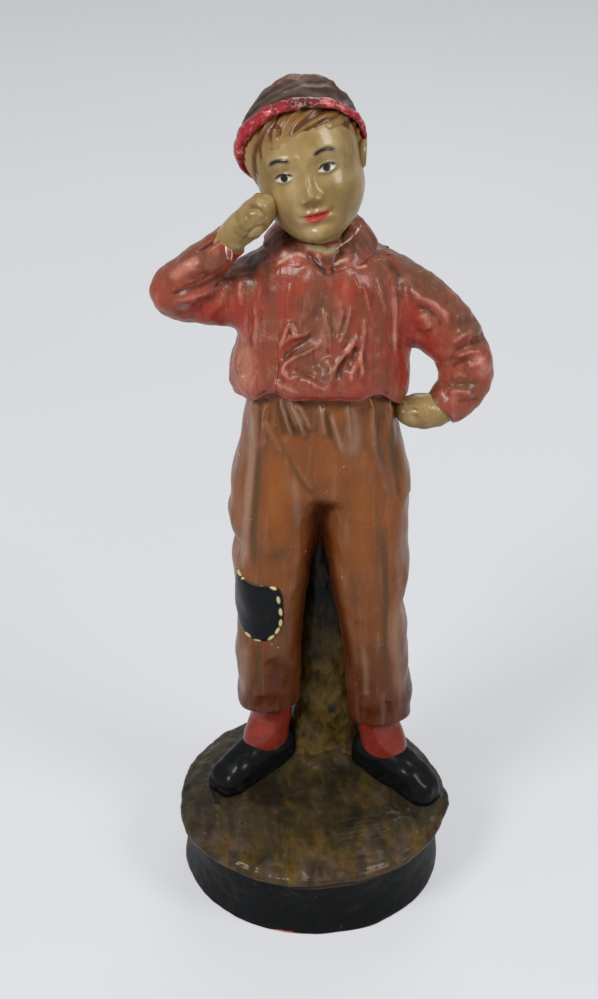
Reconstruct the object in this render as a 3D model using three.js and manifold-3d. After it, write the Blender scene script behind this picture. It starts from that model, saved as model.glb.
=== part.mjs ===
// A painted terracotta figure of a standing child on a round plinth.
// Millimetres, +Z up, the figure faces -Y, and its right hand is on the -X side.
// The figure is made as a potter makes it: hollow and solid casts, each pressed by itself,
// then set together with a thin seam of slip. The origin is the middle of the plinth's foot.
import * as THREE from "three";
import { LoftGeometry } from "three/addons/geometries/LoftGeometry.js";
import { mergeVertices } from "three/addons/utils/BufferGeometryUtils.js";
import Module from "manifold-3d";

const wasm = await Module();
wasm.setup();

// Driving dimensions: joints and walls
const SEAM = 0.3; // slip gap between two casts
const WALL = 7; // wall of the hollow body casts
const SOCKET_DEPTH = 9; // how far a leg or a neck is let into its neighbour

// Driving dimensions: plinth and ground
const DRUM_RADIUS = 71;
const DRUM_HEIGHT = 35;
const DRUM_WALL = 8;
const DRUM_FLOOR = 6;
const DRUM_CHAMFER = 1.2;
const VENT_RADIUS = 9; // firing hole in the floor
const VENT_Y = 38; // distance of the firing hole from the middle
const RIM_RADIUS = 74.5;
const RIM_HEIGHT = 6; // thickness of the earth's lip on the drum
const RIM_RIPPLE = 0.9; // unevenness of the lip
const MOUND_RISE = 12; // from the lip to the crest
const MOUND_FALL = 2.2; // exponent of the slope
const MOUND_WALL = 7;

// Driving dimensions: tree stump behind the legs
const STUMP_X = 8;
const STUMP_Y = 29;
const STUMP_FOOT_RADIUS = 24;
const STUMP_TOP_RADIUS = 11;
const STUMP_HEIGHT = 176;

// Driving dimensions: feet
const RIGHT_ANKLE_X = -22.6;
const RIGHT_ANKLE_Y = 15;
const LEFT_ANKLE_X = 36.2;
const LEFT_ANKLE_Y = 11;
const RIGHT_TOE_OUT = 51; // degrees
const LEFT_TOE_OUT = 53;
const TOE_REACH = 39; // from the ankle's axis to the toe
const HEEL_REACH = 13;
const SHOE_HALF_WIDTH = 11;
const SHOE_HEIGHT = 18.5;
const STOCKING_RADIUS = 11.2;
const STOCKING_LET_IN = 7; // height of the stocking's foot over the sole

// Driving dimensions: trousers
const RIGHT_HEM_HEIGHT = 44.5; // hem over the sole
const LEFT_HEM_HEIGHT = 40;
const HEM_HALF_WIDTH = 16.6;
const KNEE_HALF_WIDTH = 18.8;
const THIGH_HALF_WIDTH = 22.4;
const HEM_DEPTH = 17;
const KNEE_DEPTH = 22;
const THIGH_DEPTH = 30;
const INSEAM = 128.5; // right hem to crotch
const HIP_X = 3.7;
const HIP_Y = 12;
const HIP_HALF_WIDTH = 45.6;
const HIP_DEPTH = 32;
const WAIST_HALF_WIDTH = 36;
const WAIST_DEPTH = 30;
const TROUSER_RISE = 79; // crotch to the top of the waist
const PATCH_WIDTH = 25;
const PATCH_HEIGHT = 40;
const PATCH_THICKNESS = 1.1;
const PATCH_ABOVE_HEM = 70.5; // middle of the knee patch

// Driving dimensions: shirt, braces and collar
const HEM_DROP = 21; // how far the shirt hangs below the trousers' top at the sides
const HEM_LIFT = 19; // the front of the hem is drawn up
const SHIRT_LENGTH = 86; // side hem to the neck
const SHIRT_X = 4;
const SHIRT_Y = 11;
const BLOUSE_HALF_WIDTH = 44.5;
const BLOUSE_DEPTH = 39;
const CHEST_HALF_WIDTH = 38;
const CHEST_DEPTH = 29;
const NECK_HALF_WIDTH = 15.5;
const BRACE_WIDTH = 7.5;
const BRACE_THICKNESS = 1.3;
const RIGHT_BRACE_X = -21.5;
const LEFT_BRACE_X = 32.5;
const BACK_BRACE_SPREAD = 9; // half the gap of the braces at the back of the waist
const COLLAR_THICKNESS = 2.6;
const COLLAR_REACH = 10.5; // width of the turned-down leaf
const COLLAR_RADIUS = 17;
const COLLAR_RISE = 6; // the nape of the collar over the neck's seam
const COLLAR_DIP = 5; // the throat of the collar under the neck's seam
const COLLAR_GAP = 7; // half angle left open at the throat, degrees

// Driving dimensions: arms
const SHOULDER_DROP = 27; // shoulder joint below the neck
const RIGHT_ELBOW_OUT = 67; // to the side of the plinth's middle
const RIGHT_ELBOW_BACK = 8; // behind the plinth's middle
const RIGHT_ELBOW_DROP = 4; // below the shoulder
const RIGHT_WRIST_OUT = 39.5;
const RIGHT_WRIST_BACK = -6;
const RIGHT_WRIST_DROP = -30;
const LEFT_ELBOW_OUT = 75.5;
const LEFT_ELBOW_BACK = 12;
const LEFT_ELBOW_DROP = 39;
const LEFT_WRIST_OUT = 63;
const LEFT_WRIST_BACK = 3;
const LEFT_WRIST_DROP = 62.5;
const RIGHT_SLEEVE_RADIUS = 14;
const RIGHT_FOREARM_RADIUS = 11;
const LEFT_SLEEVE_RADIUS = 15.2;
const LEFT_FOREARM_RADIUS = 12.7;
const CUFF_RADIUS = 8.6;
const FIST_HALF_WIDTH = 8.2;
const HAND_HALF_WIDTH = 8.8;

// Driving dimensions: head and cap
const HEAD_X = -4.5;
const HEAD_Y = 9;
const HEAD_ABOVE_NECK = 39; // middle of the head over the neck's seam
const HEAD_HALF_WIDTH = 25.5;
const HEAD_FRONT = 26;
const HEAD_BACK = 27;
const HEAD_CHIN = 37; // chin below the middle of the head
const HEAD_CROWN = 31; // crown over it
const HEAD_ROLL = 15; // degrees, crown towards the figure's right
const HEAD_PITCH = 8; // degrees, face upwards
const NECK_RADIUS = 11.5;
const HEAD_WALL = 6;
const NOSE_LENGTH = 12;
const HAIR_THICKNESS = 2.6;
const HAIR_WIDTH = 15; // hairline to the cap's band
const CAP_TILT = 45; // degrees, front of the band up
const CAP_BACK = 3; // middle of the band behind the middle of the head
const CAP_UP = 8; // and over it
const CAP_HALF_WIDTH = 28.2;
const CAP_HALF_LENGTH = 30.5;
const CAP_DEPTH = 26;
const CAP_LEAN = 5; // the soft crown sags towards the figure's left
const BAND_HALF_WIDTH = 3;
const BAND_HALF_THICKNESS = 2.4;
const EAR_HEIGHT = 16;

// Levels, stacked from the floor upwards
const lipTop = DRUM_HEIGHT + SEAM + RIM_HEIGHT;
const rightSole = groundAt(RIGHT_ANKLE_X, RIGHT_ANKLE_Y);
const leftSole = groundAt(LEFT_ANKLE_X, LEFT_ANKLE_Y);
const rightHem = rightSole + RIGHT_HEM_HEIGHT;
const leftHem = leftSole + LEFT_HEM_HEIGHT;
const crotch = rightHem + INSEAM;
const waist = crotch + TROUSER_RISE;
const shirtHem = waist - HEM_DROP;
const neckSeam = shirtHem + SHIRT_LENGTH;
const shoulder = neckSeam - SHOULDER_DROP;

// Height of the earth's surface at a place: it falls from the crest to the lip by a power of the radius.
function groundAt(x, y) {
  const share = Math.min(1, Math.hypot(x, y) / RIM_RADIUS);
  return lipTop + MOUND_RISE * (1 - share ** MOUND_FALL);
}

// Solids

// The bare surface with its shared corners joined.
function merged(geometry) {
  const bare = new THREE.BufferGeometry();
  bare.setAttribute("position", geometry.attributes.position.clone());
  bare.setIndex(geometry.index);
  return mergeVertices(bare, 1e-4);
}

function solidOf(geometry) {
  const closed = merged(geometry);
  const vertProperties = closed.attributes.position.array;
  const triVerts = new Uint32Array(closed.index.array);
  return new wasm.Manifold(new wasm.Mesh({ numProp: 3, vertProperties, triVerts }));
}

// The same closed surface moved outwards along its own normals.
function swollen(geometry, by) {
  const closed = merged(geometry);
  closed.computeVertexNormals();
  const place = closed.attributes.position;
  const normal = closed.attributes.normal;
  for (let i = 0; i < place.count; i++) {
    place.setXYZ(
      i,
      place.getX(i) + normal.getX(i) * by,
      place.getY(i) + normal.getY(i) * by,
      place.getZ(i) + normal.getZ(i) * by,
    );
  }
  closed.deleteAttribute("normal");
  return closed;
}

function geometryOf(solid) {
  const mesh = solid.getMesh();
  const place = new Float32Array(mesh.numVert * 3);
  for (let i = 0; i < mesh.numVert; i++) {
    place.set(mesh.vertProperties.subarray(i * mesh.numProp, i * mesh.numProp + 3), i * 3);
  }
  const geometry = new THREE.BufferGeometry();
  geometry.setAttribute("position", new THREE.BufferAttribute(place, 3));
  geometry.setIndex(new THREE.BufferAttribute(mesh.triVerts, 1));
  geometry.computeVertexNormals();
  return geometry;
}

function largest(solid) {
  return solid.decompose().reduce((a, b) => (a.volume() > b.volume() ? a : b));
}

// Lofts

const power = (value, exponent) => Math.sign(value) * Math.abs(value) ** exponent;

// A level oval with its own front and back depth. Squareness below 1 makes it boxier.
function oval({ x, y, z, half, front, back }, { around = 24, squareness = 0.9, lift = 0 } = {}) {
  return Array.from({ length: around }, (_, i) => {
    const angle = (i / around) * 2 * Math.PI;
    const along = power(Math.cos(angle), squareness);
    const across = power(Math.sin(angle), squareness);
    const raised = lift * Math.max(0, -across) ** 2;
    return new THREE.Vector3(x + half * along, y + (across < 0 ? front : back) * across, z + raised);
  });
}

// Stations read at even steps along smooth curves through them.
function eased(stations, rows) {
  const curve = (a, b, c) =>
    new THREE.CatmullRomCurve3(
      stations.map((s) => new THREE.Vector3(s[a], s[b], s[c])),
      false,
      "catmullrom",
    );
  const middle = curve("x", "y", "z");
  const reach = curve("half", "front", "back");
  return Array.from({ length: rows + 1 }, (_, i) => {
    const m = middle.getPoint(i / rows);
    const r = reach.getPoint(i / rows);
    return { x: m.x, y: m.y, z: m.z, half: r.x, front: r.y, back: r.z };
  });
}

const closedLoft = (sections) => new LoftGeometry(sections, { capStart: true, capEnd: true });

function ovalLoft(stations, rows, options = {}) {
  return closedLoft(eased(stations, rows).map((s) => oval(s, options)));
}

// Round sections square to a path. Each stop has a place, a half width across `side` and a half depth.
function limb(stops, rows, { around = 18, side = new THREE.Vector3(0, 1, 0) } = {}) {
  const path = new THREE.CatmullRomCurve3(
    stops.map((s) => new THREE.Vector3(...s.at)),
    false,
    "catmullrom",
  );
  const reach = new THREE.CatmullRomCurve3(
    stops.map((s) => new THREE.Vector3(s.wide, s.deep ?? s.wide, 0)),
    false,
    "catmullrom",
  );
  const sections = Array.from({ length: rows + 1 }, (_, i) => {
    const middle = path.getPoint(i / rows);
    const forward = path.getTangent(i / rows);
    const wide = new THREE.Vector3().crossVectors(side, forward).normalize();
    const deep = new THREE.Vector3().crossVectors(forward, wide);
    const size = reach.getPoint(i / rows);
    return Array.from({ length: around }, (_, j) => {
      const angle = (j / around) * 2 * Math.PI;
      return middle
        .clone()
        .addScaledVector(wide, size.x * Math.cos(angle))
        .addScaledVector(deep, size.y * Math.sin(angle));
    });
  });
  return closedLoft(sections);
}

// Plinth and ground

const turnSteps = 36;

function level(radius, z, ripple = 0) {
  return Array.from({ length: turnSteps }, (_, i) => {
    const angle = (i / turnSteps) * 2 * Math.PI;
    const uneven = ripple * (Math.cos(3 * angle + 1) + 0.6 * Math.cos(7 * angle));
    const r = radius + uneven;
    return new THREE.Vector3(r * Math.cos(angle), r * Math.sin(angle), z);
  });
}

const plinthDrum = () =>
  closedLoft([
    level(DRUM_RADIUS - DRUM_CHAMFER, 0),
    level(DRUM_RADIUS, DRUM_CHAMFER),
    level(DRUM_RADIUS, DRUM_HEIGHT),
  ]);

const drumHollow = () =>
  closedLoft([level(DRUM_RADIUS - DRUM_WALL, DRUM_FLOOR), level(DRUM_RADIUS - DRUM_WALL, DRUM_HEIGHT + DRUM_FLOOR)]);

function firingHole() {
  const hole = new THREE.CylinderGeometry(VENT_RADIUS, VENT_RADIUS, 4 * DRUM_FLOOR, 20);
  hole.rotateX(Math.PI / 2);
  hole.translate(0, VENT_Y, 0);
  return hole;
}

// Heap of earth: its flat seat on the drum, its lip, then the slope inwards to the crest.
function groundMound() {
  const seat = DRUM_HEIGHT + SEAM;
  const steps = 5;
  const lip = [level(RIM_RADIUS - 2, seat, RIM_RIPPLE), level(RIM_RADIUS, seat + RIM_HEIGHT / 2, RIM_RIPPLE)];
  const slope = Array.from({ length: steps }, (_, i) => {
    const radius = RIM_RADIUS * (1 - (i + 0.12) / steps);
    return level(radius, groundAt(radius, 0), i ? 0 : RIM_RIPPLE);
  });
  return closedLoft([...lip, ...slope]);
}

function moundHollow() {
  const inner = DRUM_RADIUS - DRUM_WALL;
  const vault = [1, 0.6, 0.2].map((share) => level(inner * share, groundAt(inner * share, 0) - MOUND_WALL));
  return closedLoft([level(inner, 0), ...vault]);
}

function treeStump() {
  const foot = groundAt(STUMP_X, STUMP_Y) - MOUND_WALL / 2;
  const station = (share, radius) => ({
    x: STUMP_X,
    y: STUMP_Y,
    z: foot + STUMP_HEIGHT * share,
    half: radius,
    front: radius * 0.8,
    back: radius * 0.9,
  });
  const middle = (STUMP_FOOT_RADIUS + 2 * STUMP_TOP_RADIUS) / 3;
  return ovalLoft(
    [
      station(0, STUMP_FOOT_RADIUS),
      station(0.25, middle + 2),
      station(0.6, middle),
      station(1, STUMP_TOP_RADIUS),
    ],
    6,
    { around: 16, squareness: 1 },
  );
}

// Feet

function footLine(ankleX, ankleY, toeOut) {
  const angle = THREE.MathUtils.degToRad(toeOut) * Math.sign(ankleX);
  return (reach) => ({
    x: ankleX + reach * Math.sin(angle),
    y: ankleY - reach * Math.cos(angle),
    across: new THREE.Vector3(Math.cos(angle), Math.sin(angle), 0),
  });
}

// Sections square to the foot: round over the instep, and let into the slope below.
function shoe(ankleX, ankleY, toeOut) {
  const line = footLine(ankleX, ankleY, toeOut);
  const around = 14;
  const outline = [
    { reach: -HEEL_REACH, wide: 0.5, high: 0.55 },
    { reach: -HEEL_REACH * 0.75, wide: 0.85, high: 0.85 },
    { reach: 0, wide: 0.98, high: 1 },
    { reach: TOE_REACH * 0.3, wide: 0.97, high: 0.96 },
    { reach: TOE_REACH * 0.62, wide: 1.02, high: 0.8 },
    { reach: TOE_REACH * 0.88, wide: 0.9, high: 0.68 },
    { reach: TOE_REACH, wide: 0.5, high: 0.4 },
  ];
  const curve = new THREE.CatmullRomCurve3(
    outline.map((o) => new THREE.Vector3(o.reach, o.wide * SHOE_HALF_WIDTH, o.high * SHOE_HEIGHT)),
    false,
    "catmullrom",
  );
  const rows = 8;
  const sections = Array.from({ length: rows + 1 }, (_, i) => {
    const at = curve.getPoint(i / rows);
    const { x, y, across } = line(at.x);
    const ground = groundAt(x, y);
    const depth = at.z * 0.3;
    return Array.from({ length: around }, (_, j) => {
      const angle = (j / around) * 2 * Math.PI;
      const rise = Math.sin(angle) > 0 ? at.z : depth;
      return new THREE.Vector3(x, y, ground + rise * power(Math.sin(angle), 0.8)).addScaledVector(
        across,
        at.y * power(Math.cos(angle), 0.8),
      );
    });
  });
  return closedLoft(sections);
}

function stocking(x, y, sole, hem) {
  const station = (z, radius) => ({ x, y, z, half: radius, front: radius, back: radius });
  return ovalLoft(
    [
      station(sole + STOCKING_LET_IN, STOCKING_RADIUS * 0.9),
      station((sole + hem) / 2, STOCKING_RADIUS * 0.97),
      station(hem + SOCKET_DEPTH, STOCKING_RADIUS),
    ],
    3,
    { around: 16, squareness: 1 },
  );
}

// Trousers

// A trouser leg's stations from hem to hip. `inset` shrinks it for the hollow inside.
function legStations(ankleX, ankleY, hem, inset = 0) {
  const hipX = HIP_X + Math.sign(ankleX) * (HIP_HALF_WIDTH - THIGH_HALF_WIDTH);
  const footX = ankleX + Math.sign(ankleX) * (HEM_HALF_WIDTH - STOCKING_RADIUS) * 0.3;
  const station = (share, half, depth, towardsHip) => ({
    x: THREE.MathUtils.lerp(footX, hipX, towardsHip),
    y: THREE.MathUtils.lerp(ankleY, HIP_Y, share),
    z: THREE.MathUtils.lerp(hem, crotch - SEAM, share),
    half: half - inset,
    front: depth - inset,
    back: depth - inset,
  });
  return [
    station(0, HEM_HALF_WIDTH, HEM_DEPTH, 0),
    station(0.24, (HEM_HALF_WIDTH + KNEE_HALF_WIDTH) / 2, (HEM_DEPTH + KNEE_DEPTH) / 2, 0.25),
    station(0.5, KNEE_HALF_WIDTH, KNEE_DEPTH, 0.65),
    station(0.76, (KNEE_HALF_WIDTH + THIGH_HALF_WIDTH) / 2 + 0.8, (KNEE_DEPTH + THIGH_DEPTH) / 2, 0.82),
    station(1, THIGH_HALF_WIDTH, THIGH_DEPTH, 1),
  ];
}

const trouserLeg = (x, y, hem) => ovalLoft(legStations(x, y, hem), 7, { around: 20 });

function legHollow(x, y, hem) {
  const inside = legStations(x, y, hem, WALL);
  inside[0].z += SOCKET_DEPTH + SEAM;
  inside[inside.length - 1].z += WALL;
  return ovalLoft(inside, 4, { around: 14 });
}

function seatStations(inset = 0) {
  const station = (z, half, front, back) => ({
    x: HIP_X,
    y: HIP_Y,
    z,
    half: half - inset,
    front: front - inset,
    back: back - inset,
  });
  return [
    station(crotch, HIP_HALF_WIDTH, HIP_DEPTH * 0.95, HIP_DEPTH * 0.96),
    station(crotch + TROUSER_RISE * 0.15, HIP_HALF_WIDTH, HIP_DEPTH, HIP_DEPTH),
    station(crotch + TROUSER_RISE * 0.45, (HIP_HALF_WIDTH + WAIST_HALF_WIDTH) / 2, HIP_DEPTH, HIP_DEPTH),
    station(crotch + TROUSER_RISE * 0.75, WAIST_HALF_WIDTH + 1.2, WAIST_DEPTH + 2, WAIST_DEPTH),
    station(waist, WAIST_HALF_WIDTH, WAIST_DEPTH, WAIST_DEPTH - 2),
  ];
}

const trouserSeat = () => ovalLoft(seatStations(), 6, { around: 26 });

function seatHollow() {
  const inside = seatStations(WALL);
  inside[0].z += WALL;
  inside[inside.length - 1].z += WALL;
  return ovalLoft(inside, 4, { around: 18 });
}

// A rounded patch outline, pushed through the front of the leg.
function patchCutter() {
  const outline = new THREE.Shape();
  const w = PATCH_WIDTH / 2;
  const h = PATCH_HEIGHT / 2;
  outline.moveTo(-w, -h * 0.35);
  outline.bezierCurveTo(-w, -h * 0.8, -w * 0.5, -h, 0, -h);
  outline.bezierCurveTo(w * 0.7, -h, w, -h * 0.6, w, 0);
  outline.bezierCurveTo(w, h * 0.6, w * 0.7, h * 0.8, w * 0.2, h * 0.8);
  outline.bezierCurveTo(-w * 0.2, h * 0.8, -w * 0.6, h * 0.8, -w * 0.8, h);
  outline.bezierCurveTo(-w * 1.05, h * 0.8, -w, h * 0.2, -w, -h * 0.35);
  const depth = KNEE_DEPTH + 4 * PATCH_THICKNESS;
  const cutter = new THREE.ExtrudeGeometry(outline, { depth, bevelEnabled: false, curveSegments: 4 });
  cutter.rotateX(Math.PI / 2);
  const outward = KNEE_HALF_WIDTH * 0.28;
  cutter.translate(RIGHT_ANKLE_X - outward, RIGHT_ANKLE_Y, rightHem + PATCH_ABOVE_HEM);
  return cutter;
}

// Shirt

function shirtStations(inset = 0) {
  const station = (share, x, half, front, back) => ({
    x,
    y: SHIRT_Y,
    z: shirtHem + SHIRT_LENGTH * share,
    half: half - inset,
    front: front - inset,
    back: back - inset,
  });
  const middle = (BLOUSE_HALF_WIDTH + CHEST_HALF_WIDTH) / 2;
  const slope = (CHEST_HALF_WIDTH + NECK_HALF_WIDTH) / 2 + 2;
  return [
    station(0, SHIRT_X - 1.3, BLOUSE_HALF_WIDTH - 2, BLOUSE_DEPTH - 2, BLOUSE_DEPTH - 7),
    station(0.12, SHIRT_X - 1.3, BLOUSE_HALF_WIDTH, BLOUSE_DEPTH, BLOUSE_DEPTH - 6),
    station(0.35, SHIRT_X, middle, (BLOUSE_DEPTH + CHEST_DEPTH) / 2, CHEST_DEPTH + 1),
    station(0.6, SHIRT_X, CHEST_HALF_WIDTH, CHEST_DEPTH, CHEST_DEPTH),
    station(0.76, SHIRT_X, CHEST_HALF_WIDTH - 1, CHEST_DEPTH - 2, CHEST_DEPTH - 2),
    station(0.88, SHIRT_X - 1, slope, CHEST_DEPTH - 5, CHEST_DEPTH - 7),
    station(1, SHIRT_X - 2, NECK_HALF_WIDTH, NECK_HALF_WIDTH, NECK_HALF_WIDTH),
  ];
}

function shirtLoft(stations, rows, around) {
  const sections = eased(stations, rows).map((s, i) => oval(s, { around, lift: HEM_LIFT * (1 - i / rows) ** 2 }));
  return closedLoft(sections);
}

const shirtBody = () => shirtLoft(shirtStations(), 9, 26);

function shirtHollow() {
  const inside = shirtStations(WALL);
  inside[0].z -= WALL;
  inside[inside.length - 1].z -= WALL;
  return shirtLoft(inside, 6, 18);
}

// A strip seen from the front or the back, long enough to pass through that side of the shirt.
function braceCutter(lowX, highX, front) {
  const low = shirtHem + HEM_LIFT * 0.4;
  const high = neckSeam - COLLAR_REACH * 0.9;
  const half = BRACE_WIDTH / 2;
  const strip = new THREE.Shape([
    new THREE.Vector2(lowX - half, low),
    new THREE.Vector2(lowX + half, low),
    new THREE.Vector2(highX + half, high),
    new THREE.Vector2(highX - half, high),
  ]);
  const depth = BLOUSE_DEPTH + 4 * BRACE_THICKNESS;
  const cutter = new THREE.ExtrudeGeometry(strip, { depth, bevelEnabled: false, steps: 1 });
  cutter.rotateX(Math.PI / 2);
  return cutter.translate(0, front ? SHIRT_Y : SHIRT_Y + depth, 0);
}

// One leaf of the turned-down collar, carried round the neck from the throat to the nape.
function collarLeaf(side) {
  const steps = 9;
  const sections = Array.from({ length: steps + 1 }, (_, i) => {
    const share = i / steps;
    const angle = THREE.MathUtils.degToRad(COLLAR_GAP + (180 - COLLAR_GAP - 2) * share);
    const out = new THREE.Vector3(side * Math.sin(angle), -Math.cos(angle), 0);
    const rise = (COLLAR_RISE + COLLAR_DIP) * Math.sin((share * Math.PI) / 2) ** 0.8 - COLLAR_DIP;
    const wing = COLLAR_REACH * (0.8 + 0.3 * Math.sin(Math.min(1, share * 4) * Math.PI * 0.5));
    const fall = wing * 0.75;
    const middle = new THREE.Vector3(SHIRT_X - 2, SHIRT_Y, 0);
    const at = (reach, z) => middle.clone().addScaledVector(out, COLLAR_RADIUS + reach).setZ(neckSeam + z);
    const points = [
      at(-1, rise - COLLAR_THICKNESS),
      at(wing - 1, rise - fall - COLLAR_THICKNESS),
      at(wing + 1, rise - fall + COLLAR_THICKNESS * 0.4),
      at(wing * 0.4 + 1, rise - fall * 0.25 + COLLAR_THICKNESS * 0.6),
      at(0.5, rise + COLLAR_THICKNESS * 0.4),
    ];
    return side > 0 ? points.reverse() : points;
  });
  return closedLoft(sections);
}

// Arms

const chest = [SHIRT_X, SHIRT_Y, shoulder];
const rightElbow = [-RIGHT_ELBOW_OUT, RIGHT_ELBOW_BACK, shoulder - RIGHT_ELBOW_DROP];
const rightWrist = [-RIGHT_WRIST_OUT, RIGHT_WRIST_BACK, shoulder - RIGHT_WRIST_DROP];
const leftElbow = [LEFT_ELBOW_OUT, LEFT_ELBOW_BACK, shoulder - LEFT_ELBOW_DROP];
const leftWrist = [LEFT_WRIST_OUT, LEFT_WRIST_BACK, shoulder - LEFT_WRIST_DROP];

// A stop of an arm: its place is counted from a joint in shares of the arm's radius, and so is its half width.
const stopsAlong = (radius) => (joint, x, y, z, wide, deep = wide) => ({
  at: [joint[0] + x * radius, joint[1] + y * radius, joint[2] + z * radius],
  wide: wide * radius,
  deep: deep * radius,
});

function rightUpperSleeve() {
  const stop = stopsAlong(RIGHT_SLEEVE_RADIUS);
  return limb(
    [
      stop(chest, -1.71, 0.07, -0.07, 1.1),
      stop(rightElbow, 1.64, 0.14, -0.07, 1),
      stop(rightElbow, 0.64, 0.14, -0.14, 0.9),
      stop(rightElbow, 0, 0, 0, 0.8),
      stop(rightElbow, -0.57, 0, 0.14, 0.45),
    ],
    7,
    { around: 16 },
  );
}

function rightLowerSleeve() {
  const stop = stopsAlong(RIGHT_FOREARM_RADIUS);
  return limb(
    [
      stop(rightElbow, -0.45, -0.27, -0.36, 0.6),
      stop(rightElbow, -0.09, -0.36, 0.36, 1.05),
      stop(rightElbow, 0.91, -0.73, 1.36, 1),
      stop(rightWrist, 0, 0, 0, CUFF_RADIUS / RIGHT_FOREARM_RADIUS),
    ],
    6,
    { around: 16 },
  );
}

function rightHand() {
  const stop = stopsAlong(FIST_HALF_WIDTH);
  return limb(
    [
      stop(rightWrist, -0.37, 0.18, -0.49, 0.79),
      stop(rightWrist, 0.73, -0.49, 1.04, 0.95),
      stop(rightWrist, 1.83, -0.85, 2.07, 1, 1.15),
      stop(rightWrist, 2.26, -0.85, 3.05, 0.5),
    ],
    7,
    { around: 14 },
  );
}

function leftUpperSleeve() {
  const stop = stopsAlong(LEFT_SLEEVE_RADIUS);
  return limb(
    [
      stop(chest, 1.45, 0, 0.07, 1.05),
      stop(leftElbow, -2.04, 0.07, 2.17, 1.04),
      stop(leftElbow, -0.92, 0.07, 1.18, 1),
      stop(leftElbow, 0, 0, 0, 0.85),
    ],
    6,
    { around: 16 },
  );
}

function leftLowerSleeve() {
  const stop = stopsAlong(LEFT_FOREARM_RADIUS);
  return limb(
    [
      stop(leftElbow, -0.24, 0, 0.63, 0.9),
      stop(leftElbow, 0, 0, -0.31, 1.05),
      stop(leftElbow, -0.16, -0.31, -1.18, 0.95),
      stop(leftWrist, 0, 0, 0, (CUFF_RADIUS * 1.1) / LEFT_FOREARM_RADIUS),
    ],
    6,
    { around: 16 },
  );
}

function leftHand() {
  const stop = stopsAlong(HAND_HALF_WIDTH);
  return limb(
    [
      stop(leftWrist, 0.45, 0.11, 0.23, 0.78),
      stop(leftWrist, -0.68, -0.23, -0.17, 1),
      stop(leftWrist, -1.82, -0.34, -0.17, 1),
      stop(leftWrist, -3.07, -0.11, -0.17, 0.5),
    ],
    7,
    { around: 14 },
  );
}

// Head and cap, in the head's own frame, then turned to the head's tilt

function tilted(geometry) {
  geometry.rotateX(THREE.MathUtils.degToRad(-HEAD_PITCH));
  geometry.rotateY(THREE.MathUtils.degToRad(-HEAD_ROLL));
  geometry.translate(HEAD_X, HEAD_Y, neckSeam + HEAD_ABOVE_NECK);
  return geometry;
}

// The head's stations from chin to crown. `inset` shrinks it for the hollow inside.
function skullStations(inset = 0) {
  const station = (share, half, front, back) => ({
    x: 0,
    y: 0,
    z: ((share < 0 ? HEAD_CHIN : HEAD_CROWN) - inset) * share,
    half: (HEAD_HALF_WIDTH - inset) * half,
    front: (HEAD_FRONT - inset) * front,
    back: (HEAD_BACK - inset) * back,
  });
  return [
    station(-1, 0.3, 0.74, 0.1),
    station(-0.86, 0.6, 0.97, 0.35),
    station(-0.55, 0.87, 1, 0.7),
    station(-0.2, 0.97, 1, 0.95),
    station(0.15, 1, 0.98, 1),
    station(0.5, 0.87, 0.88, 0.9),
    station(0.8, 0.58, 0.6, 0.64),
    station(1, 0.12, 0.12, 0.12),
  ];
}

const skull = () => tilted(ovalLoft(skullStations(), 11, { around: 22, squareness: 0.95 }));
const skullHollow = () => tilted(ovalLoft(skullStations(HEAD_WALL), 5, { around: 14, squareness: 1 }));

// A small plain nose: a wedge that widens downwards.
function nose() {
  const depth = (share) => -HEAD_FRONT * share;
  return tilted(
    limb(
      [
        { at: [0, depth(0.9), NOSE_LENGTH * 0.2], wide: NOSE_LENGTH * 0.15 },
        { at: [0, depth(1), -NOSE_LENGTH * 0.4], wide: NOSE_LENGTH * 0.2 },
        { at: [0, depth(1.05), -NOSE_LENGTH * 0.8], wide: NOSE_LENGTH * 0.28 },
        { at: [0, depth(0.97), -NOSE_LENGTH], wide: NOSE_LENGTH * 0.18 },
      ],
      4,
      { around: 10 },
    ),
  );
}

// The neck, or the bore inside it, from below its seam up into the head.
function neck(radius, below, around) {
  const station = (x, y, z) => ({ x, y, z, half: radius, front: radius, back: radius });
  return ovalLoft(
    [
      station(SHIRT_X - 2, SHIRT_Y, neckSeam - below),
      station(SHIRT_X - 3, SHIRT_Y, neckSeam),
      station(HEAD_X + 2, HEAD_Y + 2, neckSeam + HEAD_ABOVE_NECK * 0.5),
    ],
    3,
    { around, squareness: 1 },
  );
}

const capTilt = THREE.MathUtils.degToRad(CAP_TILT);
const capForward = new THREE.Vector3(0, -Math.cos(capTilt), Math.sin(capTilt));
const capAxis = new THREE.Vector3(0, Math.sin(capTilt), Math.cos(capTilt));
const capMiddle = new THREE.Vector3(0, CAP_BACK, CAP_UP);

// Hair is the skull's outer skin between the hairline and the cap's band.
function hairZone() {
  const zone = new THREE.BoxGeometry(4 * HEAD_HALF_WIDTH, 4 * HEAD_BACK, HAIR_WIDTH);
  zone.translate(0, 0, -HAIR_WIDTH / 2);
  zone.rotateX(-capTilt);
  zone.translate(capMiddle.x, capMiddle.y, capMiddle.z);
  return tilted(zone);
}

// An oval in the band's tilted plane: `out` is along the crown's axis, `lean` is sideways.
function capRing(out, share, lean, around) {
  const middle = capMiddle.clone().addScaledVector(capAxis, out);
  return Array.from({ length: around }, (_, i) => {
    const angle = (i / around) * 2 * Math.PI;
    return middle
      .clone()
      .add(new THREE.Vector3(lean + CAP_HALF_WIDTH * share * Math.cos(angle), 0, 0))
      .addScaledVector(capForward, -CAP_HALF_LENGTH * share * Math.sin(angle));
  });
}

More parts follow.
